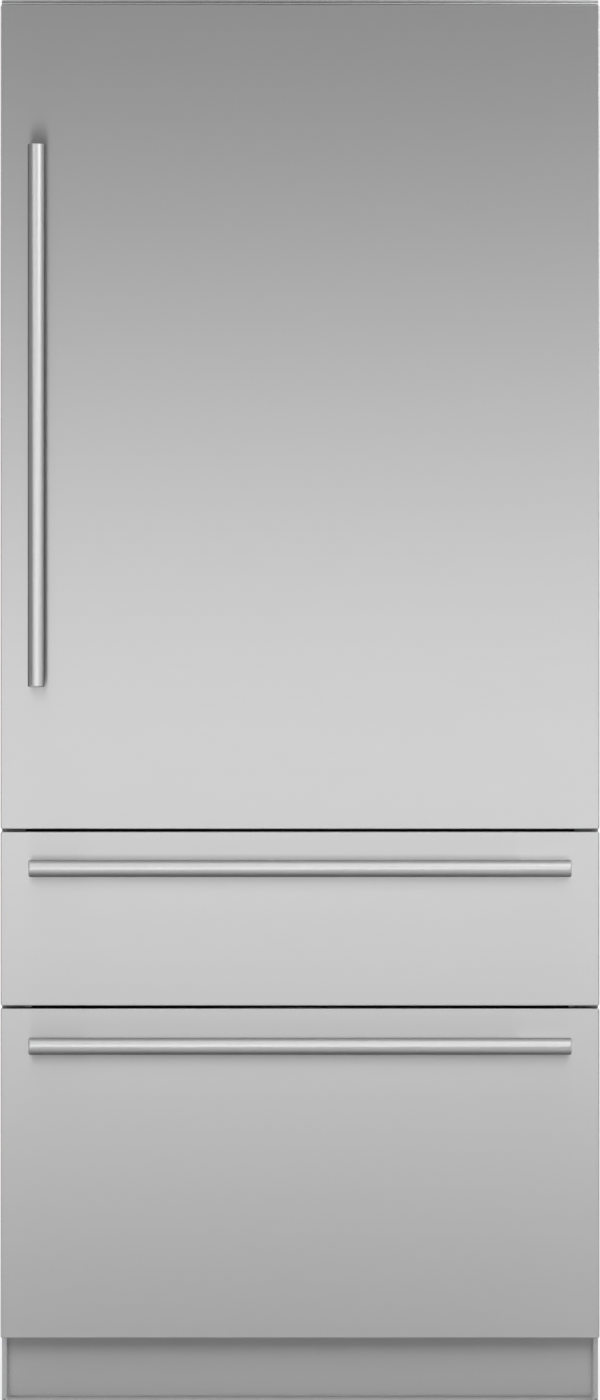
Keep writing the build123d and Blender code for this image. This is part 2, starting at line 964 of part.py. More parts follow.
with BuildPart() as outer_slides:
    with BuildSketch(facing(slide_front)):
        for z in (lower_slide_z, upper_slide_z):
            band(wall_x - slide_sheet, wall_x, 0, outer_top, z)
            band(inner_web, wall_x, outer_top - slide_sheet, outer_top, z)
            band(inner_web, inner_web + slide_sheet, outer_top - slide_lip, outer_top, z)
    extrude(amount=-slide_length)
    for z in (lower_slide_z, upper_slide_z):
        with BuildSketch(Plane.YZ):
            screw_slots(z, 3)
        extrude(amount=half, both=True, mode=Mode.SUBTRACT)
keep(outer_slides, "outer_slides")


def make_middle_slides(z):
    """Middle members of one drawer's slides, with the ball cages they carry."""
    with BuildPart() as members:
        with BuildSketch(facing(slide_front)):
            band(middle_web - slide_sheet, middle_web, 0, middle_top, z)
            band(cage_low, middle_web, middle_top - slide_sheet, middle_top, z)
        extrude(amount=-slide_length)
        with BuildSketch(facing(slide_front + (slide_length - cage_length) / 2)):
            band(cage_low, middle_web, middle_top, outer_top - slide_sheet - ball_play, z)
            inner_cage = cage_low + cage_sheet
            band(cage_low, inner_cage, inner_top + ball_play, middle_top - slide_sheet, z)
        extrude(amount=-cage_length)
        with BuildSketch(Plane.YZ):
            screw_slots(z, 4)
        extrude(amount=half, both=True, mode=Mode.SUBTRACT)
    return members


def make_inner_slides(z):
    """Inner members of one drawer's slides, with the flange that the front is screwed to."""
    with BuildPart() as members:
        with BuildSketch(facing(slide_front)):
            band(inner_web, inner_web + slide_sheet, 0, inner_top, z)
            flange_reach = middle_web - slide_sheet - ball_play
            band(inner_web, flange_reach, inner_top - slide_sheet, inner_top, z)
        extrude(amount=-slide_length)
        with BuildSketch(facing(tub_front)):
            band(inner_web, inner_web + slide_sheet, 0, inner_top, z)
        extrude(amount=tub_front - slide_front)
        with BuildSketch(facing(tub_front)):
            band(inner_web, wall_x - slide_sheet, 0, inner_top, z)
        extrude(amount=-slide_sheet)
        with BuildSketch(Plane.YZ):
            screw_slots(z, 3)
        extrude(amount=half, both=True, mode=Mode.SUBTRACT)
    return members


def make_tub(low, tub_height, tub_depth):
    """Open tub between the inner slides, with a rim that stands out above them."""
    with BuildPart() as tub:
        with BuildSketch(level(low)):
            area(-tub_half, tub_half, tub_front, tub_front + tub_depth, tub_corner)
        extrude(amount=tub_height)
        fillet(tub.faces().sort_by(Axis.Z)[0].edges(), tub_corner / 2)
        with BuildSketch(level(low + tub_height - tub_rim_height)):
            area(
                -tub_half - tub_rim,
                tub_half + tub_rim,
                tub_front,
                tub_front + tub_depth + tub_rim,
                tub_corner,
            )
        extrude(amount=tub_rim_height)
        with BuildSketch(level(low + tub_wall)):
            area(
                tub_wall - tub_half,
                tub_half - tub_wall,
                tub_front + tub_wall,
                tub_front + tub_depth - tub_wall,
                tub_corner - tub_wall,
            )
        extrude(amount=tub_height, mode=Mode.SUBTRACT)
    return tub


for name, z, low, tub_height, tub_depth in (
    ("upper", upper_slide_z, middle_high + tub_floor_gap, upper_tub_height, upper_tub_depth),
    ("lower", lower_slide_z, freezer_low + tub_floor_gap, lower_tub_height, lower_tub_depth),
):
    keep(make_middle_slides(z), f"{name}_middle_slides")
    keep(make_inner_slides(z), f"{name}_inner_slides")
    keep(make_tub(low, tub_height, tub_depth), f"{name}_drawer_tub")

# Slotted rails on the fridge's back wall, which the shelves hook into
ladder_front = room_back - ladder_depth
slot_count = int((ladder_top - ladder_bottom - slot_height) / slot_pitch)
with BuildPart() as shelf_ladders:
    with BuildSketch(level(ladder_bottom)):
        for side in (-1, 1):
            x = side * ladder_spread
            area(x - ladder_width / 2, x + ladder_width / 2, ladder_front, room_back)
            area(
                x - ladder_width / 2 + ladder_sheet,
                x + ladder_width / 2 - ladder_sheet,
                ladder_front + ladder_sheet,
                room_back,
                mode=Mode.SUBTRACT,
            )
    extrude(amount=ladder_top - ladder_bottom)
    with BuildSketch(facing(ladder_front)):
        for slot in range(slot_count):
            for side in (-1, 1):
                with Locations((side * ladder_spread, ladder_bottom + slot_pitch * (slot + 0.5))):
                    Rectangle(slot_width, slot_height)
    extrude(amount=-ladder_sheet, mode=Mode.SUBTRACT)
keep(shelf_ladders, "shelf_ladders")

# Glass shelves on cantilever arms
shelf_half = room_half - shelf_side_gap
shelf_near = -shelf_front
shelf_far = shelf_near + shelf_depth
pane_half = shelf_half - shelf_frame_width + pane_ledge
shelf_levels = [
    ladder_bottom + slot_pitch * (slot + 0.5) + slot_height / 2 + ladder_sheet
    for slot in shelf_slots
]
crisper_half = room_half - crisper_side_gap
crisper_low = fridge_low + crisper_floor_gap
crisper_top = shelf_levels[0] - arm_back_height - crisper_top_gap
rim_low = crisper_top - crisper_rim_height
rail_top = shelf_levels[0]
rail_x = crisper_half + crisper_rim + rail_play

with BuildPart() as shelf_frames:
    for z in shelf_levels:
        with BuildSketch(level(z)):
            area(-shelf_half, shelf_half, shelf_near, shelf_far, shelf_frame_width / 3)
            area(
                shelf_frame_width - shelf_half,
                shelf_half - shelf_frame_width,
                shelf_near + shelf_frame_width,
                shelf_far - shelf_frame_width,
                mode=Mode.SUBTRACT,
            )
        extrude(amount=shelf_frame_height)
        with BuildSketch(level(z + shelf_frame_height - pane_thickness)):
            area(
                -pane_half - pane_play,
                pane_half + pane_play,
                shelf_near + shelf_frame_width - pane_ledge - pane_play,
                shelf_far - shelf_frame_width + pane_ledge + pane_play,
            )
        extrude(amount=pane_thickness, mode=Mode.SUBTRACT)
        for side in (-1, 1):
            with BuildSketch(beside(side * ladder_spread)):
                with BuildLine():
                    Polyline(
                        (shelf_near + arm_front_gap, z),
                        (shelf_near + arm_front_gap, z - arm_front_height),
                        (ladder_front, z - arm_back_height),
                        (ladder_front, z - ladder_sheet - slot_height),
                        (ladder_front + hook_reach, z - ladder_sheet - slot_height),
                        (ladder_front + hook_reach, z - ladder_sheet),
                        (ladder_front, z - ladder_sheet),
                        (ladder_front, z),
                        close=True,
                    )
                make_face()
            extrude(amount=arm_sheet / 2, both=True)
keep(shelf_frames, "shelf_frames")

# Rails under the lowest shelf, which the crispers hang and slide on by their rims
rail_low_z = rim_low - rail_play - rail_lip_sheet
with BuildPart() as crisper_rails:
    with BuildSketch(facing(shelf_near)):
        for side in (-1, 1):
            web = sorted((side * rail_x, side * (rail_x + rail_lip_sheet)))
            lip = sorted((side * (crisper_half + rail_play), side * (rail_x + rail_lip_sheet)))
            area(*web, rail_low_z, rail_top)
            area(*lip, rail_low_z, rail_low_z + rail_lip_sheet)
        stem = crisper_middle_gap / 2 - crisper_rim - rail_play
        area(-stem, stem, rail_low_z, rail_top)
        lip_reach = crisper_middle_gap / 2 - rail_play
        area(-lip_reach, lip_reach, rail_low_z, rail_low_z + rail_lip_sheet)
    extrude(amount=-shelf_depth)
keep(crisper_rails, "crisper_rails")

with BuildPart() as shelf_panes:
    for z in shelf_levels:
        with BuildSketch(level(z + shelf_frame_height - pane_thickness)):
            area(
                -pane_half,
                pane_half,
                shelf_near + shelf_frame_width - pane_ledge,
                shelf_far - shelf_frame_width + pane_ledge,
            )
        extrude(amount=pane_thickness)
keep(shelf_panes, "shelf_panes")


def make_crisper(side):
    """Produce drawer that hangs by its rims, with a thicker front and a finger grip."""
    near = crisper_middle_gap / 2
    across = sorted((side * near, side * crisper_half))
    rim = sorted((side * (near - crisper_rim), side * (crisper_half + crisper_rim)))
    with BuildPart() as crisper:
        with BuildSketch(level(crisper_low)):
            area(*across, shelf_near, shelf_near + crisper_depth, crisper_corner)
        extrude(amount=crisper_top - crisper_low)
        fillet(crisper.faces().sort_by(Axis.Z)[0].edges(), crisper_corner / 2)
        with BuildSketch(level(rim_low)):
            area(*rim, shelf_near + crisper_grip, shelf_near + crisper_depth)
        extrude(amount=crisper_rim_height)
        with BuildSketch(level(crisper_low + crisper_wall)):
            area(
                across[0] + crisper_wall,
                across[1] - crisper_wall,
                shelf_near + crisper_front_sheet,
                shelf_near + crisper_depth - crisper_wall,
                crisper_corner - crisper_wall,
            )
        extrude(amount=crisper_top - crisper_low, mode=Mode.SUBTRACT)
        with BuildSketch(beside(side * (near + crisper_half) / 2)):
            with BuildLine():
                Polyline(
                    (shelf_near, crisper_top),
                    (shelf_near - crisper_grip, crisper_top),
                    (shelf_near - crisper_grip, crisper_top - crisper_grip),
                    (shelf_near - crisper_grip + crisper_wall, crisper_top - crisper_grip),
                    (shelf_near - crisper_grip + crisper_wall, crisper_top - crisper_wall),
                    (shelf_near, crisper_top - crisper_wall),
                    close=True,
                )
            make_face()
        extrude(amount=(crisper_half - near) / 2 - crisper_corner, both=True)
    return crisper


keep(make_crisper(-1), "left_crisper")
keep(make_crisper(1), "right_crisper")


def make_bin(x_low, x_high, low, bin_top):
    """Door bin: a leaning front, a rounded foot, open at the top."""
    with BuildPart() as door_bin:
        with BuildSketch(beside(x_low)):
            with BuildLine():
                Polyline(
                    (front_back, low),
                    (front_back + bin_depth - bin_lean, low),
                    (front_back + bin_depth, bin_top),
                    (front_back, bin_top),
                    close=True,
                )
            make_face()
        extrude(amount=x_high - x_low)
        foot = door_bin.faces().sort_by(Axis.Z)[0].edges().sort_by(Axis.Y)[-1]
        fillet(foot, bin_round)
        offset(amount=-bin_wall, openings=door_bin.faces().sort_by(Axis.Z)[-1])
    return door_bin


for name, bin_low in (("lower_door_bin", lower_bin_low), ("middle_door_bin", middle_bin_low)):
    keep(make_bin(-bay_half, bay_half, bin_low, bin_low + bin_height), name)

lid_axis_y = front_back + lid_pin_set
lid_axis_z = dairy_top + lid_gap + lid_pin / 2
lid_low = lid_axis_z - lid_sheet / 2
with BuildPart() as dairy_bin:
    add(make_bin(-bay_half, dairy_right, dairy_low, dairy_top).part)
    for x in (-bay_half, dairy_right - lid_pin_length):
        with BuildSketch(beside(x)):
            area(front_back, lid_axis_y + lid_pin_set, dairy_top - bin_wall, dairy_top)
            area(front_back, lid_axis_y + lid_pin, dairy_top - bin_wall, dairy_top + ear_height)
            with Locations((lid_axis_y, lid_axis_z)):
                Circle(lid_pin / 2 + lid_pin_play, mode=Mode.SUBTRACT)
        extrude(amount=lid_pin_length)
keep(dairy_bin, "dairy_bin")

with BuildPart() as dairy_lid:
    lid_left = lid_pin_length + lid_gap - bay_half
    lid_right = dairy_right - lid_pin_length - lid_gap
    lid_end = front_back + bin_depth + lid_gap
    with BuildSketch(beside(lid_left)):
        area(lid_axis_y, lid_end + lid_sheet, lid_low, lid_low + lid_sheet)
        area(lid_end, lid_end + lid_sheet, lid_low + lid_sheet - lid_lip, lid_low + lid_sheet)
        with Locations((lid_axis_y, lid_axis_z)):
            Circle(lid_pin / 2)
    extrude(amount=lid_right - lid_left)
    with BuildSketch(beside(-bay_half)):
        with Locations((lid_axis_y, lid_axis_z)):
            Circle(lid_pin / 2)
    extrude(amount=dairy_width)
keep(dairy_lid, "dairy_lid")

# Air duct on the fridge's back wall, between the ladders
duct_low = ladder_bottom
duct_high = ladder_top - ladder_width
duct_front = room_back - duct_depth
with BuildPart() as fridge_duct:
    with BuildSketch(facing(duct_front)):
        area(-duct_width / 2, duct_width / 2, duct_low, duct_high, liner_corner)
    extrude(amount=-duct_depth)
    fillet(fridge_duct.faces().sort_by(Axis.Y)[0].edges(), duct_wall * 2)
    with BuildSketch(facing(duct_front + duct_wall)):
        area(
            duct_wall - duct_width / 2,
            duct_width / 2 - duct_wall,
            duct_low + duct_wall,
            duct_high - duct_wall,
            liner_corner - duct_wall,
        )
    extrude(amount=-duct_depth, mode=Mode.SUBTRACT)
    with BuildSketch(facing(duct_front)):
        with Locations((0, (duct_low + duct_high) / 2)):
            with GridLocations(duct_width / 2, (duct_high - duct_low) / duct_slots, 2, duct_slots):
                SlotOverall(duct_width / 3, duct_wall * 4)
    extrude(amount=-duct_wall, mode=Mode.SUBTRACT)
keep(fridge_duct, "fridge_duct")

# Cover over the freezer's evaporator, a pan open to the back wall
cover_half = room_half - evaporator_cover_gap
cover_low = step_top
cover_high = freezer_high - evaporator_cover_gap
cover_front = room_back - evaporator_cover_depth
with BuildPart() as evaporator_cover:
    with BuildSketch(facing(cover_front)):
        area(-cover_half, cover_half, cover_low, cover_high, liner_corner)
    extrude(amount=-evaporator_cover_depth)
    with BuildSketch(facing(cover_front + evaporator_cover_sheet)):
        area(
            evaporator_cover_sheet - cover_half,
            cover_half - evaporator_cover_sheet,
            cover_low + evaporator_cover_sheet,
            cover_high - evaporator_cover_sheet,
            liner_corner - evaporator_cover_sheet,
        )
    extrude(amount=-evaporator_cover_depth, mode=Mode.SUBTRACT)
    grille_z = (cover_low + cover_high) / 2
    with BuildSketch(facing(cover_front)):
        with Locations((0, grille_z)):
            with GridLocations(2 * cover_half / (grille_count + 1), grille_spread, grille_count, 3):
                SlotOverall(grille_length, grille_height)
    extrude(amount=-evaporator_cover_sheet, mode=Mode.SUBTRACT)
keep(evaporator_cover, "evaporator_cover")

# Evaporator: upright fins on both sides of its tube plate, and the tubes' bends at the ends
evaporator_low = cover_low + evaporator_rise
evaporator_high = evaporator_low + tube_pitch * evaporator_rows
evaporator_y = (cover_front + evaporator_cover_sheet + room_back) / 2
with BuildPart() as evaporator:
    with BuildSketch(level(evaporator_low)):
        with Locations((0, evaporator_y)):
            Rectangle(evaporator_width, tube_diameter)
        fin_pitch = evaporator_width / evaporator_fins
        for fin in range(evaporator_fins + 1):
            fin_x = fin_pitch * fin - evaporator_width / 2
            area(
                fin_x - fin_sheet / 2,
                fin_x + fin_sheet / 2,
                evaporator_y - evaporator_fin_reach,
                room_back,
            )
    extrude(amount=evaporator_high - evaporator_low)
    for row in range(evaporator_rows - 1):
        side = 1 if row % 2 else -1
        bend_z = evaporator_low + tube_pitch * (row + 1)
        tube_end = side * (evaporator_width + fin_sheet) / 2
        with BuildSketch(beside(tube_end)):
            with Locations((evaporator_y, bend_z + tube_pitch / 2)):
                Circle(tube_diameter / 2)
        revolve(axis=Axis((tube_end, evaporator_y, bend_z), (0, side, 0)), revolution_arc=180)
keep(evaporator, "evaporator")

# Control housing under the fridge's ceiling, its face leaning to the user
with BuildPart() as control_panel:
    control_front = case_front + control_setback
    with BuildSketch(beside(-control_width / 2)):
        with BuildLine():
            Polyline(
                (control_front, fridge_high),
                (control_front, fridge_high - control_height / 3),
                (control_front + control_height, fridge_high - control_height),
                (control_front + control_depth, fridge_high - control_height),
                (control_front + control_depth, fridge_high),
                close=True,
            )
        make_face()
    extrude(amount=control_width)
    fillet(control_panel.edges().filter_by(Axis.X).group_by(Axis.Z)[0], control_height / 8)
keep(control_panel, "control_panel")

with BuildPart() as ceiling_light:
    with BuildSketch(level(fridge_high - light_height)):
        with Locations((0, control_front + control_depth + light_depth)):
            RectangleRounded(light_width, light_depth, liner_corner)
    extrude(amount=light_height)
    fillet(ceiling_light.faces().sort_by(Axis.Z)[0].edges(), light_height / 3)
keep(ceiling_light, "ceiling_light")

# Compressor: a domed shell with its seam, feet plate, terminal box and tube stubs
plate_z = machine_floor + compressor_lift
grommet_spread = (plate_length - 2 * grommet_inset, plate_width - 2 * grommet_inset, 2, 2)
with BuildPart() as compressor:
    with BuildSketch(level(plate_z)):
        with Locations((compressor_x, machine_y)):
            RectangleRounded(plate_length, plate_width, plate_corner)
            with GridLocations(*grommet_spread):
                Circle(grommet_hole, mode=Mode.SUBTRACT)
    extrude(amount=plate_sheet)
    with BuildSketch(level(plate_z + plate_sheet)):
        with Locations((compressor_x, machine_y)):
            Circle(compressor_radius)
    extrude(amount=shell_height)
    shell_rims = compressor.edges().filter_by(GeomType.CIRCLE).group_by(SortBy.RADIUS)[-1]
    fillet(shell_rims.sort_by(Axis.Z)[-1], shell_round)
    with BuildSketch(level(plate_z + shell_height / 2)):
        with Locations((compressor_x, machine_y)):
            Circle(compressor_radius + seam_reach)
    extrude(amount=seam_reach)
    with BuildSketch(beside(compressor_x - compressor_radius - terminal_reach)):
        area(
            machine_y - terminal_size / 2,
            machine_y + terminal_size / 2,
            plate_z + terminal_rise,
            plate_z + terminal_rise + terminal_size,
            terminal_corner,
        )
    extrude(amount=compressor_radius)
    for stub_y, stub_top in (
        (machine_y - stub_spacing / 2, plate_z + shell_height + stub_height),
        (machine_y + stub_spacing / 2, machine_top - pan_sheet),
    ):
        with BuildSketch(level(plate_z + shell_height / 2)):
            with Locations((compressor_x + stub_x, stub_y)):
                Circle(pipe_diameter / 2)
        extrude(amount=stub_top - plate_z - shell_height / 2)
keep(compressor, "compressor")

with BuildPart() as compressor_grommets:
    for low, high, radius in (
        (machine_floor, plate_z, grommet_radius),
        (plate_z, plate_z + plate_sheet, grommet_hole),
        (plate_z + plate_sheet, plate_z + 2 * plate_sheet, grommet_radius),
    ):
        with BuildSketch(level(low)):
            with Locations((compressor_x, machine_y)):
                with GridLocations(*grommet_spread):
                    Circle(radius)
        extrude(amount=high - low)
keep(compressor_grommets, "compressor_grommets")

# Condenser: fins on a flat serpentine tube between two end plates that stand on the floor
condenser_low = machine_floor + condenser_lift
condenser_high = condenser_low + tube_pitch * condenser_rows
condenser_near = machine_y - condenser_depth / 2
condenser_far = machine_y + condenser_depth / 2
bend_left = condenser_left - bend_overhang
bend_right = condenser_right + bend_overhang
route = []
for row in range(condenser_rows):
    row_z = condenser_low + tube_pitch * (row + 0.5)
    for x in (bend_left, bend_right) if row % 2 else (bend_right, bend_left):
        route.append((x, machine_y, row_z))
header_near = machine_y - flat_tube_width / 2
header_far = machine_y + flat_tube_width / 2
stub_near = machine_y - stub_spacing / 2
pipe_near = machine_front + pan_sheet + pipe_front_gap
pipe_far = rear_face - cover_sheet - pipe_back_gap
header_low, header_high = route[0][2], route[-1][2]
hot_pipe = (
    (compressor_x + stub_x, stub_near, plate_z + shell_height + stub_height),
    (compressor_x + stub_x, stub_near, pipe_top),
    (compressor_x + stub_x, pipe_near, pipe_top),
    (bend_right, pipe_near, pipe_top),
    (bend_right, pipe_near, header_high),
    (bend_right, header_near, header_high),
)
liquid_pipe = (
    (bend_right, header_far, header_low),
    (bend_right, pipe_far, header_low),
    (bend_right, pipe_far, machine_top - pan_sheet),
)
with BuildPart() as condenser:
    with BuildLine() as tube_line:
        FilletPolyline(*route, radius=tube_pitch / 2 - bend_play)
    with BuildSketch(Plane(origin=tube_line.line @ 0, x_dir=(0, 1, 0), z_dir=tube_line.line % 0)):
        Rectangle(flat_tube_width, flat_tube_height)
    sweep()
    with BuildSketch(facing(header_near)):
        with Locations((bend_right, header_low), (bend_right, header_high)):
            Circle(header_diameter / 2)
    extrude(amount=-flat_tube_width)
    fin_pitch = condenser_length / (condenser_fins - 1)
    for fin in range(condenser_fins):
        end_plate = fin in (0, condenser_fins - 1)
        fin_low = machine_floor if end_plate else condenser_low
        with BuildSketch(beside(condenser_left + fin * fin_pitch)):
            area(condenser_near, condenser_far, fin_low, condenser_high)
        extrude(amount=fin_sheet / 2, both=True)
    for points in (hot_pipe, liquid_pipe):
        with BuildLine() as pipe_line:
            FilletPolyline(*points, radius=pipe_bend)
        with BuildSketch(Plane(origin=pipe_line.line @ 0, z_dir=pipe_line.line % 0)):
            Circle(pipe_diameter / 2)
        sweep()
    with BuildSketch(level(drier_low)):
        with Locations((bend_right, pipe_far)):
            Circle(drier_diameter / 2)
    extrude(amount=drier_high - drier_low)
keep(condenser, "condenser")

# Tray under the condenser, from which the defrost water dries
with BuildPart() as drain_pan:
    for inset, low, mode in ((0, 0, Mode.ADD), (tray_wall, tray_wall, Mode.SUBTRACT)):
        with BuildSketch(level(machine_floor + low)):
            area(
                condenser_left + tray_gap + inset,
                condenser_right - tray_gap - inset,
                condenser_near + inset,
                condenser_far - inset,
                liner_corner - inset,
            )
        extrude(amount=tray_height, taper=-tray_lean, mode=mode)
keep(drain_pan, "drain_pan")

# Fan plate across the machine compartment, with a collar, a motor on three struts and its shaft
with BuildPart() as fan_shroud:
    with BuildSketch(beside(fan_x)):
        area(
            machine_y - shroud_width / 2,
            machine_y + shroud_width / 2,
            machine_floor,
            machine_top - pan_sheet,
        )
        with Locations((machine_y, fan_z)):
            Circle(fan_radius + fan_gap, mode=Mode.SUBTRACT)
    extrude(amount=shroud_sheet)
    with BuildSketch(beside(fan_x)):
        with Locations((machine_y, fan_z)):
            Circle(fan_radius + fan_gap + shroud_sheet)
            Circle(fan_radius + fan_gap, mode=Mode.SUBTRACT)
    extrude(amount=collar_depth)
    with BuildSketch(beside(fan_x - motor_length)):
        with Locations((machine_y, fan_z)):
            Circle(motor_radius)
    extrude(amount=motor_length)
    with BuildSketch(beside(fan_x)):
        with Locations((machine_y, fan_z)):
            with PolarLocations((fan_radius + fan_gap + motor_radius) / 2, 3, start_angle=90):
                Rectangle(fan_radius + fan_gap + shroud_sheet - motor_radius / 2, strut_width)
    extrude(amount=-shroud_sheet)
    with BuildSketch(beside(fan_x)):
        with Locations((machine_y, fan_z)):
            Circle(shaft_diameter / 2)
    extrude(amount=hub_length)
keep(fan_shroud, "fan_shroud")

with BuildPart() as condenser_fan:
    with BuildSketch(beside(fan_x + hub_gap)):
        with Locations((machine_y, fan_z)):
            Circle(hub_radius)
            Circle(shaft_diameter / 2 + shaft_play, mode=Mode.SUBTRACT)
    extrude(amount=hub_length)
    fillet(condenser_fan.faces().sort_by(Axis.X)[-1].outer_wire().edges(), hub_round)
    blade_plane = Plane(
        origin=(fan_x + hub_gap + hub_length / 2, machine_y, fan_z),
        x_dir=(1, 0, 0),
        z_dir=(0, 0, 1),
    )
    for blade in range(blade_count):
        spun = blade_plane.rotated((blade * 360 / blade_count, 0, 0))
        for reach, chord, pitch in (
            (hub_radius - hub_gap, blade_root_chord, blade_root_pitch),
            (fan_radius, blade_tip_chord, blade_tip_pitch),
        ):
            with BuildSketch(spun.offset(reach)):
                with Locations(Rotation(0, 0, 90 - pitch)):
                    Rectangle(chord, blade_sheet)
        loft()
keep(condenser_fan, "condenser_fan")

# Louvred cover at the back of the machine compartment
inlet_sides = (
    inlet_x - inlet_width / 2 + inlet_flange,
    inlet_x + inlet_width / 2 - inlet_flange,
    inlet_z - inlet_height / 2 + inlet_flange,
    inlet_z + inlet_height / 2 - inlet_flange,
)
louvre_left = louvre_side_margin - half
louvre_right = inlet_x - inlet_width / 2
louvre_width = (louvre_right - louvre_left) / louvre_columns
with BuildPart() as machine_cover:
    with BuildSketch(facing(rear_face)):
        area(case_sheet - half, half - case_sheet, rail_low, machine_top - pan_sheet)
        area(*inlet_sides, mode=Mode.SUBTRACT)
        with Locations(((louvre_left + louvre_right) / 2, (machine_floor + machine_top) / 2)):
            with GridLocations(louvre_width, louvre_pitch, louvre_columns, louvre_rows):
                SlotOverall(louvre_width - louvre_land, louvre_height, mode=Mode.SUBTRACT)
    extrude(amount=cover_sheet)
keep(machine_cover, "machine_cover")

# Mains inlet: a housing behind the cover, its socket, and three contact pins
with BuildPart() as power_inlet:
    with BuildSketch(facing(rear_face - cover_sheet)):
        with Locations((inlet_x, inlet_z)):
            RectangleRounded(inlet_width, inlet_height, inlet_flange)
    extrude(amount=inlet_flange)
    with BuildSketch(facing(rear_face)):
        area(*inlet_sides)
    extrude(amount=inlet_depth)
    with BuildSketch(facing(rear_face)):
        with Locations((inlet_x, inlet_z)):
            Rectangle(socket_width, socket_height)
    extrude(amount=socket_depth, mode=Mode.SUBTRACT)
    with BuildSketch(facing(rear_face - socket_depth)):
        with Locations((inlet_x, inlet_z - pin_drop)):
            Rectangle(pin_sheet, pin_width)
        with Locations((inlet_x, inlet_z + pin_drop)):
            with GridLocations(pin_spacing, 0, 2, 1):
                Rectangle(pin_sheet, pin_width)
    extrude(amount=-pin_blade)
keep(power_inlet, "power_inlet")
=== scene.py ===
import json
import math

import bmesh
import bpy
from mathutils import Euler, Matrix, Vector


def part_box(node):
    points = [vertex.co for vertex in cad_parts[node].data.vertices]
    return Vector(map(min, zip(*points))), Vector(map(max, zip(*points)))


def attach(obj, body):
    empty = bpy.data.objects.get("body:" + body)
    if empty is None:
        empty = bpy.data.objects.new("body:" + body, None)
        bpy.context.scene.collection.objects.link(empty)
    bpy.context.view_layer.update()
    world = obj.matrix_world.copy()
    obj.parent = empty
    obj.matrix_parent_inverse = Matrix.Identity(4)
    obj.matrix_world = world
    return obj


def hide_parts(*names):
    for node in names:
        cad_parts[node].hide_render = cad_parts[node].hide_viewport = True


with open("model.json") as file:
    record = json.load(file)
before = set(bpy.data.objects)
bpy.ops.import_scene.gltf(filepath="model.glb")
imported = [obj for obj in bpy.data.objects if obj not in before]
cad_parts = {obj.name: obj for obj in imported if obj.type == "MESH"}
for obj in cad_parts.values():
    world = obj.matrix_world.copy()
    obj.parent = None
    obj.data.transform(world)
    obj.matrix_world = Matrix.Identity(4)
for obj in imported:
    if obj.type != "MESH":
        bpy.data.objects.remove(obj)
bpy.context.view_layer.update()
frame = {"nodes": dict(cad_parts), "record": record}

# Depth of the face of the door and the drawers
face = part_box("door_skin")[0].y


class Graph:
    """A tree of shader nodes, with short calls that add and link them."""

    def __init__(self, tree):
        self.tree = tree
        tree.nodes.clear()

    def feed(self, node, socket, value):
        """Sets a socket to a number or colour, or links it to another node's output."""
        target = node.inputs[socket]
        if isinstance(value, bpy.types.NodeSocket):
            self.tree.links.new(value, target)
        elif target.type == "RGBA":
            target.default_value = (*value, 1.0)
        else:
            target.default_value = value

    def node(self, kind, settings=None, numbered=None, **named):
        """Adds a node. Sockets are fed by number, or by name with underscores for spaces."""
        made = self.tree.nodes.new("ShaderNode" + kind)
        for key, value in (settings or {}).items():
            setattr(made, key, value)
        for socket, value in (numbered or {}).items():
            self.feed(made, socket, value)
        for socket, value in named.items():
            self.feed(made, socket.replace("_", " "), value)
        return made

    def part(self, vector, axis):
        """A vector's part along an axis."""
        return self.node("SeparateXYZ", Vector=vector).outputs[axis]

    def combine(self, operation, first, second):
        """Result of a sum or comparison of two outputs, or of an output and a number."""
        return self.node("Math", {"operation": operation}, {0: first, 1: second}).outputs[0]

    def ramp(self, value, start, end, low=0.0, high=1.0):
        """Goes from low to high while a value goes from start to end, and stays there outside."""
        made = self.node("MapRange", Value=value, From_Min=start, From_Max=end, To_Min=low, To_Max=high)
        return made.outputs[0]

    def tint(self, value, dark, pale):
        """Colour between two, by a value from 0 to 1."""
        return self.node("Mix", {"data_type": "RGBA"}, {0: value, 6: dark, 7: pale}).outputs[2]

    def blend(self, value, first, second):
        """Mix of two shaders, by a value from 0 to 1."""
        return self.node("MixShader", numbered={0: value, 1: first, 2: second}).outputs[0]


class Finish(Graph):
    """A material with one main shader, and calls for what its surface is made of."""

    def __init__(self, name, **sockets):
        self.material = bpy.data.materials.new(name)
        self.material.use_nodes = True
        super().__init__(self.material.node_tree)
        self.shader = self.node("BsdfPrincipled", **sockets)
        self.output = self.node("OutputMaterial", Surface=self.shader.outputs[0])

    def place(self, stretch=(1, 1, 1), turn=(0, 0, 0)):
        """Object coordinates in metres, scaled and turned before a texture reads them."""
        where = self.node("TexCoord").outputs["Object"]
        return self.node("Mapping", Vector=where, Scale=stretch, Rotation=turn).outputs[0]

    def noise(self, scale=1.0, stretch=(1, 1, 1), detail=2.0):
        """Noise from 0 to 1. It is finer with a larger scale, and along an axis with its stretch."""
        made = self.node("TexNoise", Vector=self.place(stretch), Scale=scale, Detail=detail)
        return made.outputs["Fac"]

    def colours(self, value, colour, dark, pale):
        """Base colour between two shades of a colour, by a value from 0 to 1."""
        self.feed(self.shader, "Base Color", self.tint(value, shade(colour, dark), shade(colour, pale)))

    def roughness(self, value, low, high):
        """Roughness from low to high, by a value from 0 to 1."""
        self.feed(self.shader, "Roughness", self.ramp(value, 0.0, 1.0, low, high))

    def bump(self, value, height):
        """Bump by a value from 0 to 1. The height is a real one, in metres."""
        self.feed(self.shader, "Normal", self.node("Bump", Height=value, Distance=height).outputs[0])


def grey(level):
    """An even grey as a colour."""
    return (level, level, level)


def shade(colour, factor):
    """A colour made darker or paler by a factor, up to white."""
    return tuple(min(1.0, channel * factor) for channel in colour)


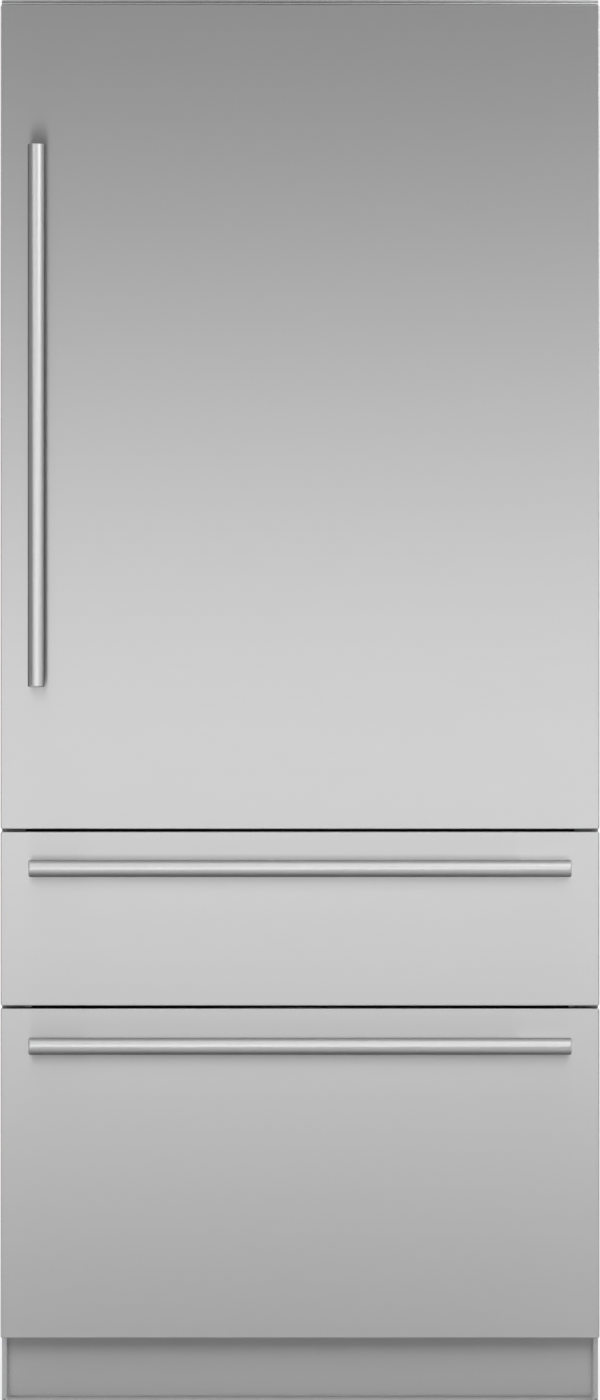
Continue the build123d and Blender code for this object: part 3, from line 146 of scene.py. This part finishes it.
def brushed_steel(name, colour, roughness, grain, anisotropy, edge, axis="Z", painted_shade=None):
    """Stainless steel with a fine grain. A highlight stretches across the grain.

    The tangent runs round the axis, along the grain, so the stretch is turned a quarter from it.
    Edge is the tint of a reflection that grazes the surface. Painted shade has a turn, two depths along
    the turned Y axis and a share: between the depths the colour darkens to that share of itself.
    """
    quarter, streak_length, contrast, uneven = 0.25, 10.0, 0.015, 0.01
    g = Finish(
        name, Metallic=1.0, Anisotropic=anisotropy, Anisotropic_Rotation=quarter, Specular_Tint=edge,
    )
    fine = g.noise(stretch=grain, detail=3.0)
    broad = g.noise(stretch=tuple(step / streak_length for step in grain))
    streaks = g.node("Mix", {"data_type": "FLOAT"}, Factor=0.5, A=fine, B=broad).outputs[0]
    metal = g.tint(streaks, shade(colour, 1.0 - contrast), shade(colour, 1.0 + contrast))
    # Painted shade: the colour darkens towards the turned back of the piece
    if painted_shade:
        turn, shade_start, shade_end, share = painted_shade
        depth = g.part(g.place(turn=turn), "Y")
        metal = g.tint(g.ramp(depth, shade_start, shade_end), metal, shade(colour, share))
    g.feed(g.shader, "Base Color", metal)
    g.roughness(fine, roughness - uneven, roughness + uneven)
    g.feed(g.shader, "Tangent", g.node("Tangent", {"direction_type": "RADIAL", "axis": axis}).outputs[0])
    g.bump(fine, height=0.000004)
    return g.material


def satin_bar(node, grain, axis, turn, share):
    """Satin steel of a round bar along an axis, with painted shade on the side that its turn sets to the
    back.

    The bar keeps its own colour as far as one share of its radius before the middle, and is
    darkened by painted shade from another share on.
    """
    # Shares of the radius before the middle where the painted shade begins and where it is deepest
    unshaded, shaded = 0.72, 0.32
    low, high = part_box(node)
    centre, radius = (low + high) / 2, (high.y - low.y) / 2
    middle = (Euler(turn).to_matrix() @ centre).y
    return brushed_steel(
        node + "_satin", grey(0.88), roughness=0.5, grain=grain, anisotropy=0.55, edge=grey(0.1),
        axis=axis, painted_shade=(turn, middle - unshaded * radius, middle - shaded * radius, share),
    )


def painted_steel(name, colour, roughness, coat=0.2):
    """Powder-coated sheet with a faint orange peel."""
    g = Finish(name, Coat_Weight=coat, Coat_Roughness=0.3, Specular_IOR_Level=0.3)
    peel = g.noise(scale=420.0)
    cloud = g.noise(scale=3.0, detail=3.0)
    g.colours(cloud, colour, 0.94, 1.06)
    g.roughness(peel, roughness - 0.05, roughness + 0.08)
    g.bump(peel, height=0.00004)
    return g.material


def zinc_steel(name, colour):
    """Galvanised sheet: spangles of slightly different grey."""
    g = Finish(name, Metallic=0.85)
    cells = g.node("TexVoronoi", Vector=g.place(), Scale=90.0).outputs["Color"]
    spangle = g.node("SeparateColor", Color=cells).outputs[0]
    g.colours(spangle, colour, 0.86, 1.1)
    g.roughness(spangle, 0.34, 0.52)
    g.bump(g.noise(scale=160.0, detail=3.0), height=0.00005)
    return g.material


def extruded_aluminium(name, colour):
    """Satin anodised extrusion with faint drawing lines."""
    g = Finish(name, Metallic=1.0, Anisotropic=0.4)
    lines = g.noise(stretch=(900.0, 900.0, 12.0))
    g.colours(lines, colour, 0.93, 1.05)
    g.roughness(lines, 0.28, 0.4)
    g.bump(lines, height=0.00001)
    return g.material


def moulded_plastic(name, colour, roughness, grain=900.0, depth=0.00003, coat=0.0):
    """Moulded plastic with a fine even grain and a trace of flow."""
    g = Finish(name, IOR=1.49, Coat_Weight=coat, Coat_Roughness=0.12)
    speck = g.noise(scale=grain)
    flow = g.noise(scale=2.5)
    g.colours(flow, colour, 0.97, 1.02)
    g.roughness(speck, roughness - 0.04, roughness + 0.05)
    g.bump(speck, height=depth)
    return g.material


def clear_plastic(name, colour, roughness, transmission):
    """See-through moulding, faintly clouded, with a soft skin."""
    g = Finish(name, IOR=1.49, Transmission_Weight=transmission)
    cloud = g.noise(scale=6.0)
    g.colours(cloud, colour, 0.97, 1.01)
    g.roughness(cloud, roughness, roughness + 0.05)
    g.bump(g.noise(scale=60.0), height=0.00003)
    return g.material


def shelf_glass(name, colour):
    """Clear float glass, darker where it is seen along its surface."""
    g = Finish(name, IOR=1.5, Transmission_Weight=0.95, Specular_IOR_Level=0.5)
    edge = g.node("LayerWeight", Blend=0.4).outputs["Facing"]
    g.colours(edge, colour, 1.0, 0.82)
    g.roughness(g.noise(scale=8.0), 0.01, 0.04)
    return g.material


def rubber(name, colour):
    """Soft extruded rubber with a fine speckle and dust on it."""
    g = Finish(name, Sheen_Weight=0.15, Sheen_Roughness=0.5, Specular_IOR_Level=0.35)
    speck = g.noise(scale=700.0)
    dust = g.noise(scale=14.0, detail=3.0)
    g.colours(dust, colour, 1.0, 1.35)
    g.roughness(speck, 0.55, 0.7)
    g.bump(speck, height=0.00004)
    return g.material


def foam(name, colour):
    """Blown foam with open cells."""
    g = Finish(name, Roughness=0.9)
    cells = g.node("TexVoronoi", Vector=g.place(), Scale=700.0).outputs["Distance"]
    g.colours(cells, colour, 0.85, 1.0)
    g.bump(cells, height=0.0003)
    return g.material


def lens(name, colour):
    """Opal lens with fine prisms, lit from behind."""
    glow = (0.95, 0.98, 1.0)
    g = Finish(name, IOR=1.49, Transmission_Weight=0.35, Emission_Color=glow, Emission_Strength=4.0)
    prisms = g.node("TexWave", Vector=g.place(), Scale=120.0).outputs["Fac"]
    g.colours(prisms, colour, 0.96, 1.0)
    g.roughness(prisms, 0.25, 0.35)
    g.bump(prisms, height=0.0002)
    return g.material


# Finish of each material slot
finishes = {
    "stainless": brushed_steel(
        "brushed_front", grey(0.62), roughness=0.28, grain=(6.0, 900.0, 1400.0), anisotropy=1.0,
        edge=grey(0.3),
    ),
    # The door bar darkens towards the door with painted shade
    "bar_steel": satin_bar(
        "door_bar", grain=(40.0, 40.0, 1600.0), axis="Z", turn=(0.0, 0.0, math.radians(-10)), share=0.33,
    ),
    "case_steel": painted_steel("case_paint", (0.34, 0.34, 0.35), roughness=0.4),
    "zinc_steel": zinc_steel("galvanised", (0.58, 0.59, 0.6)),
    "trim_aluminium": extruded_aluminium("anodised", (0.82, 0.82, 0.83)),
    "foam": foam("blown_foam", (0.8, 0.72, 0.45)),
    "liner": moulded_plastic("liner_plastic", (0.83, 0.84, 0.85), roughness=0.32),
    "clear_plastic": clear_plastic("bin_plastic", (0.93, 0.96, 0.98), roughness=0.06, transmission=0.85),
    "tub_plastic": clear_plastic("tub_plastic", (0.9, 0.92, 0.94), roughness=0.22, transmission=0.3),
    "shelf_glass": shelf_glass("float_glass", (0.93, 0.98, 0.96)),
    "gasket": rubber("gasket_rubber", (0.022, 0.022, 0.024)),
    "black_shell": painted_steel("compressor_enamel", (0.02, 0.02, 0.022), roughness=0.22),
    "fin_aluminium": extruded_aluminium("fin_stock", (0.74, 0.75, 0.76)),
    "dark_plastic": moulded_plastic(
        "dark_moulding", (0.045, 0.045, 0.05), roughness=0.5, grain=600.0, depth=0.00006,
    ),
    "panel_gloss": moulded_plastic("panel_gloss", (0.03, 0.03, 0.034), roughness=0.12, coat=0.6),
    "lens": lens("opal_lens", (0.93, 0.94, 0.95)),
    "leg_steel": zinc_steel("plated_steel", (0.5, 0.5, 0.52)),
}
for part in frame["record"]["subparts"]:
    mesh = frame["nodes"][part["node"]].data
    mesh.materials.clear()
    mesh.materials.append(finishes[part["material_slot"]])

# Nodes whose finish is not the one of their slot; the bars and crossbars carry painted shade
# The drawer bars darken behind and below with painted shade
own_finishes = {
    node: satin_bar(
        node, grain=(1600.0, 40.0, 40.0), axis="X", turn=(math.radians(30), 0.0, 0.0), share=0.56,
    )
    for node in ("upper_drawer_bar", "lower_drawer_bar")
}
# Painted shade: the crossbars are near black, which darkens the gaps between the fronts
own_finishes["crossbars"] = painted_steel(
    "crossbar_gap_shade", (0.015, 0.015, 0.016), roughness=0.75, coat=0.0,
)
for node, finish in own_finishes.items():
    frame["nodes"][node].data.materials[0] = finish


def add_object(name, data):
    """Adds an object to the scene."""
    made = bpy.data.objects.new(name, data)
    bpy.context.scene.collection.objects.link(made)
    return made


def add_mesh(name, shape, material):
    """Adds a bmesh to the scene as an object with one material."""
    data = bpy.data.meshes.new(name)
    shape.to_mesh(data)
    shape.free()
    data.materials.append(material)
    return add_object(name, data)


def piece(name, shape, body, slot):
    """Adds a bmesh of closed solids to the scene as a piece of a body."""
    bmesh.ops.recalc_face_normals(shape, faces=shape.faces)
    made = add_mesh(name, shape, finishes[slot])
    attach(made, body)
    return made


def close_rings(made, rings):
    """Quads between each ring of vertices and the next."""
    for first, second in zip(rings, rings[1:]):
        for i in range(len(first)):
            j = (i + 1) % len(first)
            made.faces.new((first[i], first[j], second[j], second[i]))


def prism(made, near, far):
    """Closed solid between two like outlines."""
    rings = [[made.verts.new(point) for point in outline] for outline in (near, far)]
    close_rings(made, rings)
    made.faces.new(reversed(rings[0]))
    made.faces.new(rings[1])


def plate(made, low, high, place=Matrix.Identity(4)):
    """Closed rectangular solid between two corners, set in a place."""
    corners = ((low[0], low[1]), (high[0], low[1]), (high[0], high[1]), (low[0], high[1]))
    near, far = ([place @ Vector((x, y, z)) for x, y in corners] for z in (low[2], high[2]))
    prism(made, near, far)


def gasket(node, body):
    """Magnetic gasket: a foot, a folded bellows and the magnet's pocket, mitred at the corners.

    The outline is half the section, as distances in from the gasket's edge and off its foot.
    """
    low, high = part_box(node)
    width, depth = 0.018, high.y - low.y
    foot, fold = 0.0008, 0.0015
    half_outline = (
        (0.0, 0.0),
        (0.0, foot),
        (0.0035, foot + 0.0003),
        (0.0025, 0.35 * depth),
        (0.0025 + fold, 0.45 * depth),
        (0.003, 0.6 * depth),
        (0.0036, 0.92 * depth),
        (0.0048, depth),
    )
    outline = [*half_outline, *((width - u, v) for u, v in reversed(half_outline))]
    made = bmesh.new()
    rings = []
    for side, up in ((-1, -1), (1, -1), (1, 1), (-1, 1)):
        corner_x = high.x if side > 0 else low.x
        corner_z = high.z if up > 0 else low.z
        corner = [(corner_x - side * u, low.y + v, corner_z - up * u) for u, v in outline]
        rings.append([made.verts.new(point) for point in corner])
    close_rings(made, rings + rings[:1])
    shaped = piece(node + "_bellows", made, body, "gasket")
    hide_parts(node)


def top_trim():
    """Extruded trim over the door: a rounded lip, a groove under it and a stepped foot. A dark strip in the
    groove is painted shade.
    """
    low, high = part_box("top_trim")
    lip, line, foot = 0.0029, 0.0014, 0.0032
    round_off, line_depth, step, sunk = 0.0005, 0.003, 0.004, 0.0012
    line_top = high.z - lip
    line_low = line_top - line
    foot_top = low.z + foot
    outline = (
        (high.y, low.z),
        (low.y + step, low.z),
        (low.y + step, foot_top),
        (low.y + round_off, foot_top),
        (low.y, foot_top + round_off),
        (low.y, line_low),
        (low.y + line_depth, line_low),
        (low.y + line_depth, line_top),
        (low.y, line_top),
        (low.y, high.z - round_off),
        (low.y + round_off, high.z),
        (high.y, high.z),
    )
    made = bmesh.new()
    prism(made, [(low.x, y, z) for y, z in outline], [(high.x, y, z) for y, z in outline])
    shaped = piece("trim_profile", made, "cabinet", "trim_aluminium")
    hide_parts("top_trim")
    # Painted shade: a dark strip set into the groove darkens it
    made = bmesh.new()
    plate(made, (low.x, low.y + sunk, line_low), (high.x, low.y + line_depth, line_top))
    piece("trim_groove_shade", made, "cabinet", "gasket")


def toe_closures():
    """Pieces that close the toe kick: angles at its sides and a strip down to the floor.

    Each angle has a flange on the case and a cheek back to the panel.
    """
    kick_low, kick_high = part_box("toe_kick")
    case_low, case_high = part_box("outer_case")
    sheet, cover, edge, floor_gap = 0.0006, 0.0001, 0.0003, 0.0003
    cheek, strip = 2 * sheet, 4 * sheet
    front = case_low.y - sheet
    made = bmesh.new()
    for side in (-1, 1):
        outer = side * (case_high.x - edge)
        inner = side * (kick_high.x + cover)
        outline = (
            (outer, front),
            (inner, front),
            (inner, kick_low.y - edge),
            (inner + side * cheek, kick_low.y - edge),
            (inner + side * cheek, case_low.y - cover),
            (outer, case_low.y - cover),
        )
        prism(made, [(x, y, kick_low.z) for x, y in outline], [(x, y, kick_high.z) for x, y in outline])
    piece("toe_returns", made, "cabinet", "trim_aluminium")
    made = bmesh.new()
    strip_low = (kick_low.x + edge, kick_low.y, floor_gap)
    strip_high = (kick_high.x - edge, kick_low.y + strip, kick_low.z)
    plate(made, strip_low, strip_high)
    piece("toe_sweep", made, "cabinet", "trim_aluminium")


def screw_heads(name, slot, places, outward, radius, height):
    """Pan heads with a cross recess, as one mesh. Each is turned differently, as driven screws are.

    The dome is a row of rings, as shares of the radius and the height. The recess has the
    half length and half width of its arms, the share of the height where its floor lies, and
    its taper towards the floor.
    """
    sides, turn_between = 24, 2.4
    dome = ((1.0, 0.0), (1.0, 0.35), (0.9, 0.78), (0.68, 1.0))
    arm, blade, floor, taper = 0.5, 0.14, 0.35, 0.75
    angles = [math.tau * step / sides for step in range(sides)]
    circle = [Vector((math.cos(angle), math.sin(angle), 0.0)) for angle in angles]
    cross = [
        Matrix.Rotation(quarter * math.pi / 2, 4, "Z") @ Vector((u, v, 0.0))
        for quarter in range(4)
        for u, v in ((arm, -blade), (arm, blade), (blade, blade))
    ]
    upright = Vector(outward).to_track_quat("Z", "X").to_matrix().to_4x4()
    made = bmesh.new()

    def ring(shape, stand, reach, rise):
        lift = Vector((0.0, 0.0, height * rise))
        return [made.verts.new(stand @ (radius * reach * point + lift)) for point in shape]

    def ring_edges(loop):
        return [made.edges.get((a, b)) for a, b in zip(loop, loop[1:] + loop[:1])]

    for number, place in enumerate(places):
        stand = Matrix.Translation(place) @ upright @ Matrix.Rotation(number * turn_between, 4, "Z")
        rings = [ring(circle, stand, reach, rise) for reach, rise in dome]
        close_rings(made, rings)
        made.faces.new(reversed(rings[0]))
        recess = [ring(cross, stand, 1.0, 1.0), ring(cross, stand, taper, floor)]
        close_rings(made, recess)
        made.faces.new(recess[1])
        bmesh.ops.bridge_loops(made, edges=ring_edges(rings[-1]) + ring_edges(recess[0]))
    piece(name, made, "cabinet", slot)


def hinge_screws():
    """Screws through the feet of the hinge brackets."""
    swing = next(joint for joint in frame["record"]["behaviour"]["joints"] if joint["name"] == "door_swing")
    pivot = Vector(swing["pos_m"])
    low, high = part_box("hinge_brackets")
    from_pivot, from_end, foot_sheet = (0.0225, 0.0375), 0.00475, 0.004
    levels = (low.z + from_end, high.z - from_end)
    places = [(pivot.x - inward, high.y - foot_sheet, z) for inward in from_pivot for z in levels]
    screw_heads("hinge_screws", "leg_steel", places, (0, -1, 0), radius=0.0042, height=0.0022)


def spaced(start, end, count):
    """Numbers from start to end, evenly apart."""
    return [start + (end - start) * step / (count - 1) for step in range(count)]


def rear_screws(node, columns, rows):
    """Screws round the edge of a cover at the back."""
    low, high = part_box(node)
    inset = 0.011
    across = spaced(low.x + inset, high.x - inset, columns)
    up = spaced(low.z + inset, high.z - inset, rows)
    places = [(x, high.y, z) for x in across for z in (up[0], up[-1])]
    places += [(x, high.y, z) for x in (across[0], across[-1]) for z in up[1:-1]]
    screw_heads(node + "_screws", "leg_steel", places, (0, 1, 0), radius=0.004, height=0.0016)


def touch_marks():
    """Plain marks on the leaning face of the control panel: two readings, each between minus and plus.

    A mark is made of strokes. A stroke has its middle's place in the mark, and lies level or stands.
    """
    low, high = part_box("control_panel")
    lean_top, lean_depth = 0.0267, 0.04
    centre = Vector((0.0, low.y + lean_depth / 2, low.z + lean_top / 2))
    along = Vector((1.0, 0.0, 0.0))
    up = Vector((0.0, -lean_depth, lean_top)).normalized()
    axes = Matrix((along, up, along.cross(up))).transposed().to_4x4()
    wide, tall, line, raised = 0.008, 0.013, 0.0012, 0.00015
    half_wide, half_tall = wide / 2, tall / 2
    strokes = {
        "top": ((0, half_tall), True),
        "middle": ((0, 0), True),
        "low": ((0, -half_tall), True),
        "upper left": ((-half_wide, half_tall / 2), False),
        "upper right": ((half_wide, half_tall / 2), False),
        "lower left": ((-half_wide, -half_tall / 2), False),
        "lower right": ((half_wide, -half_tall / 2), False),
        "upright": ((0, 0), False),
    }
    shapes = {
        "-": ("middle",),
        "+": ("middle", "upright"),
        "1": ("upper right", "lower right"),
        "4": ("upper left", "upper right", "middle", "lower right"),
        "8": tuple(key for key in strokes if key != "upright"),
    }
    row = (
        ("-", -0.15), ("4", -0.12), ("+", -0.09),
        ("-", 0.08), ("-", 0.105), ("1", 0.115), ("8", 0.127), ("+", 0.155),
    )
    level_reach = (half_wide - line, line / 2)
    standing_reach = (line / 2, half_tall / 2 - line)
    made = bmesh.new()
    for sign, offset in row:
        place = Matrix.Translation(centre + along * offset) @ axes
        for stroke in shapes[sign]:
            (u, v), level = strokes[stroke]
            reach_u, reach_v = level_reach if level else standing_reach
            plate(made, (u - reach_u, v - reach_v, 0.0), (u + reach_u, v + reach_v, raised), place)
    piece("touch_marks", made, "cabinet", "lens")


gasket("door_gasket", "door")
gasket("upper_drawer_gasket", "upper_drawer")
gasket("lower_drawer_gasket", "lower_drawer")
top_trim()
toe_closures()
hinge_screws()
rear_screws("rear_panel", columns=6, rows=9)
rear_screws("machine_cover", columns=6, rows=3)
touch_marks()


def softbox(name, size, centre, target, level):
    """Rectangular lamp that faces a point. Level is the brightness it shows in a mirror."""
    data = bpy.data.lights.new(name, "AREA")
    data.shape = "RECTANGLE"
    data.size, data.size_y = size
    data.energy = level * size[0] * size[1] * math.pi
    lamp = add_object(name, data)
    lamp.location = centre
    aim = Vector(target) - Vector(centre)
    lamp.rotation_euler = aim.to_track_quat("-Z", "Y").to_euler()
    lamp.visible_camera = False


# Lamps in one wall in front of the fronts: x and z bounds, and the level of each
wall_y = -2.3
for name, left, right, low, high, level in (
    ("wall_low", -0.85, 0.85, 0.5, 0.9, 2.2),
    ("wall_middle", -0.85, 0.85, 0.9, 1.3, 1.64),
    ("wall_high", -0.85, 0.85, 1.3, 1.9, 0.775),
    ("left_low", -2.4, -0.85, 0.05, 1.3, 0.76),
    ("left_high", -2.4, -0.85, 2.3, 3.4, 2.15),
    ("right_high", 0.85, 3.4, 2.3, 3.4, 4.75),
):
    across = (left + right) / 2
    up = (low + high) / 2
    softbox(name, (right - left, high - low), (across, wall_y, up), (across, 0.0, up), level)

# Lamps above the floor in front of the fronts, and one at their right
softbox("ceiling", (5.0, 1.1), (0.3, -1.75, 3.4), (0.3, -1.75, 0.0), level=0.6)
softbox("ceiling_near", (5.0, 0.8), (0.3, -0.85, 3.4), (0.3, -0.85, 0.0), level=0.65)
softbox("right_side", (2.0, 2.6), (3.5, -1.2, 1.4), (-0.3, -0.3, 1.4), level=0.485)

# Fill light on the sides and the back, out of sight of the fronts and their bars
softbox("left_fill", (2.2, 2.6), (-2.7, 3.1, 1.5), (-0.4, 0.0, 1.2), level=1.1)
softbox("right_fill", (2.2, 2.6), (2.7, 3.1, 1.5), (0.4, 0.0, 1.2), level=1.4)
softbox("back_fill", (3.4, 2.6), (0.0, 3.6, 1.6), (0.0, 0.3, 1.1), level=0.45)
softbox("overhead", (7.0, 3.6), (0.0, 2.4, 4.0), (0.0, 2.4, 0.0), level=1.0)


def background_share(g, behind):
    """How far a ray sees the white background, from 0 to 1.

    The camera and clear pieces see it all round, and metal sees it behind the object.
    """
    path = g.node("LightPath").outputs
    mirrored = g.combine("MULTIPLY", path["Is Glossy Ray"], behind)
    straight = g.combine("MAXIMUM", path["Is Camera Ray"], path["Is Transmission Ray"])
    return g.combine("MAXIMUM", straight, mirrored)


def footprint(g, where, soft):
    """1 on the floor under the case, 0 outside it, with a soft edge inside."""
    inside = None
    for axis, low, high in zip("XY", *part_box("outer_case")):
        for edge, inward in ((low, soft), (high, -soft)):
            step = g.ramp(g.part(where, axis), edge, edge + inward)
            inside = g.combine("MULTIPLY", inside, step) if inside else step
    return inside


def stage_floor():
    """Pale floor that keeps the object's shadow and turns white further off. Under the case a little white
    stays, as painted light that lifts the shadow.
    """
    half_width, below_object = 40.0, 0.0005
    near_white, near, far = 0.8, 0.8, 3.5
    painted_light_under_case, soft_edge = 0.13, 0.008
    g = Finish("studio_floor", Specular_IOR_Level=0.2)
    grain = g.noise(scale=30.0, detail=3.0)
    g.feed(g.shader, "Base Color", g.tint(grain, grey(0.78), grey(0.82)))
    g.roughness(grain, 0.6, 0.7)
    where = g.node("NewGeometry").outputs["Position"]
    seen = background_share(g, g.ramp(g.part(where, "Y"), face, 0.0))
    distance = g.node("VectorMath", {"operation": "LENGTH"}, Vector=where).outputs["Value"]
    white_share = g.ramp(distance, near, far, near_white, 1.0)
    # Painted light: a little white under the case lifts the shadow there
    covered = g.combine("MULTIPLY", footprint(g, where, soft_edge), 1.0 - painted_light_under_case)
    open_floor = g.combine("SUBTRACT", 1.0, covered)
    share = g.combine("MULTIPLY", g.combine("MULTIPLY", seen, open_floor), white_share)
    white = g.node("Emission", Color=grey(1.0), Strength=1.0).outputs[0]
    g.feed(g.output, "Surface", g.blend(share, g.shader.outputs[0], white))
    made = bmesh.new()
    bmesh.ops.create_grid(made, x_segments=1, y_segments=1, size=half_width)
    floor = add_mesh("studio_floor", made, g.material)
    floor.location.z = -below_object


def studio_world():
    """White as a background, an even grey for everything that it lights."""
    light_level, behind_from, behind_to = 0.085, 0.5, 0.8
    world = bpy.data.worlds.new("studio")
    bpy.context.scene.world = world
    world.use_nodes = True
    g = Graph(world.node_tree)
    direction = g.node("TexCoord").outputs["Generated"]
    seen = background_share(g, g.ramp(g.part(direction, "Y"), behind_from, behind_to))
    light = g.node("Background", Color=grey(1.0), Strength=light_level).outputs[0]
    white = g.node("Background", Color=grey(1.0), Strength=1.0).outputs[0]
    g.node("OutputWorld", Surface=g.blend(seen, light, white))


def studio_camera():
    """Level camera far in front of the fronts, at mid height, framed as the photograph is.

    Pixel size is what one pixel of the photograph covers at the fronts' face.
    """
    distance, height, view_end = 9.3, 1.0677, 100.0
    image_height, pixel_size, sensor_height = 1400, 0.0015166, 36.0
    data = bpy.data.cameras.new("camera")
    data.sensor_fit = "VERTICAL"
    data.sensor_height = sensor_height
    data.lens = sensor_height * distance / (image_height * pixel_size)
    data.clip_end = view_end
    camera = add_object("camera", data)
    camera.location = (0.0, face - distance, height)
    camera.rotation_euler = (math.pi / 2, 0.0, 0.0)
    bpy.context.scene.camera = camera


stage_floor()
studio_world()
studio_camera()
bpy.context.scene.view_settings.view_transform = "Standard"
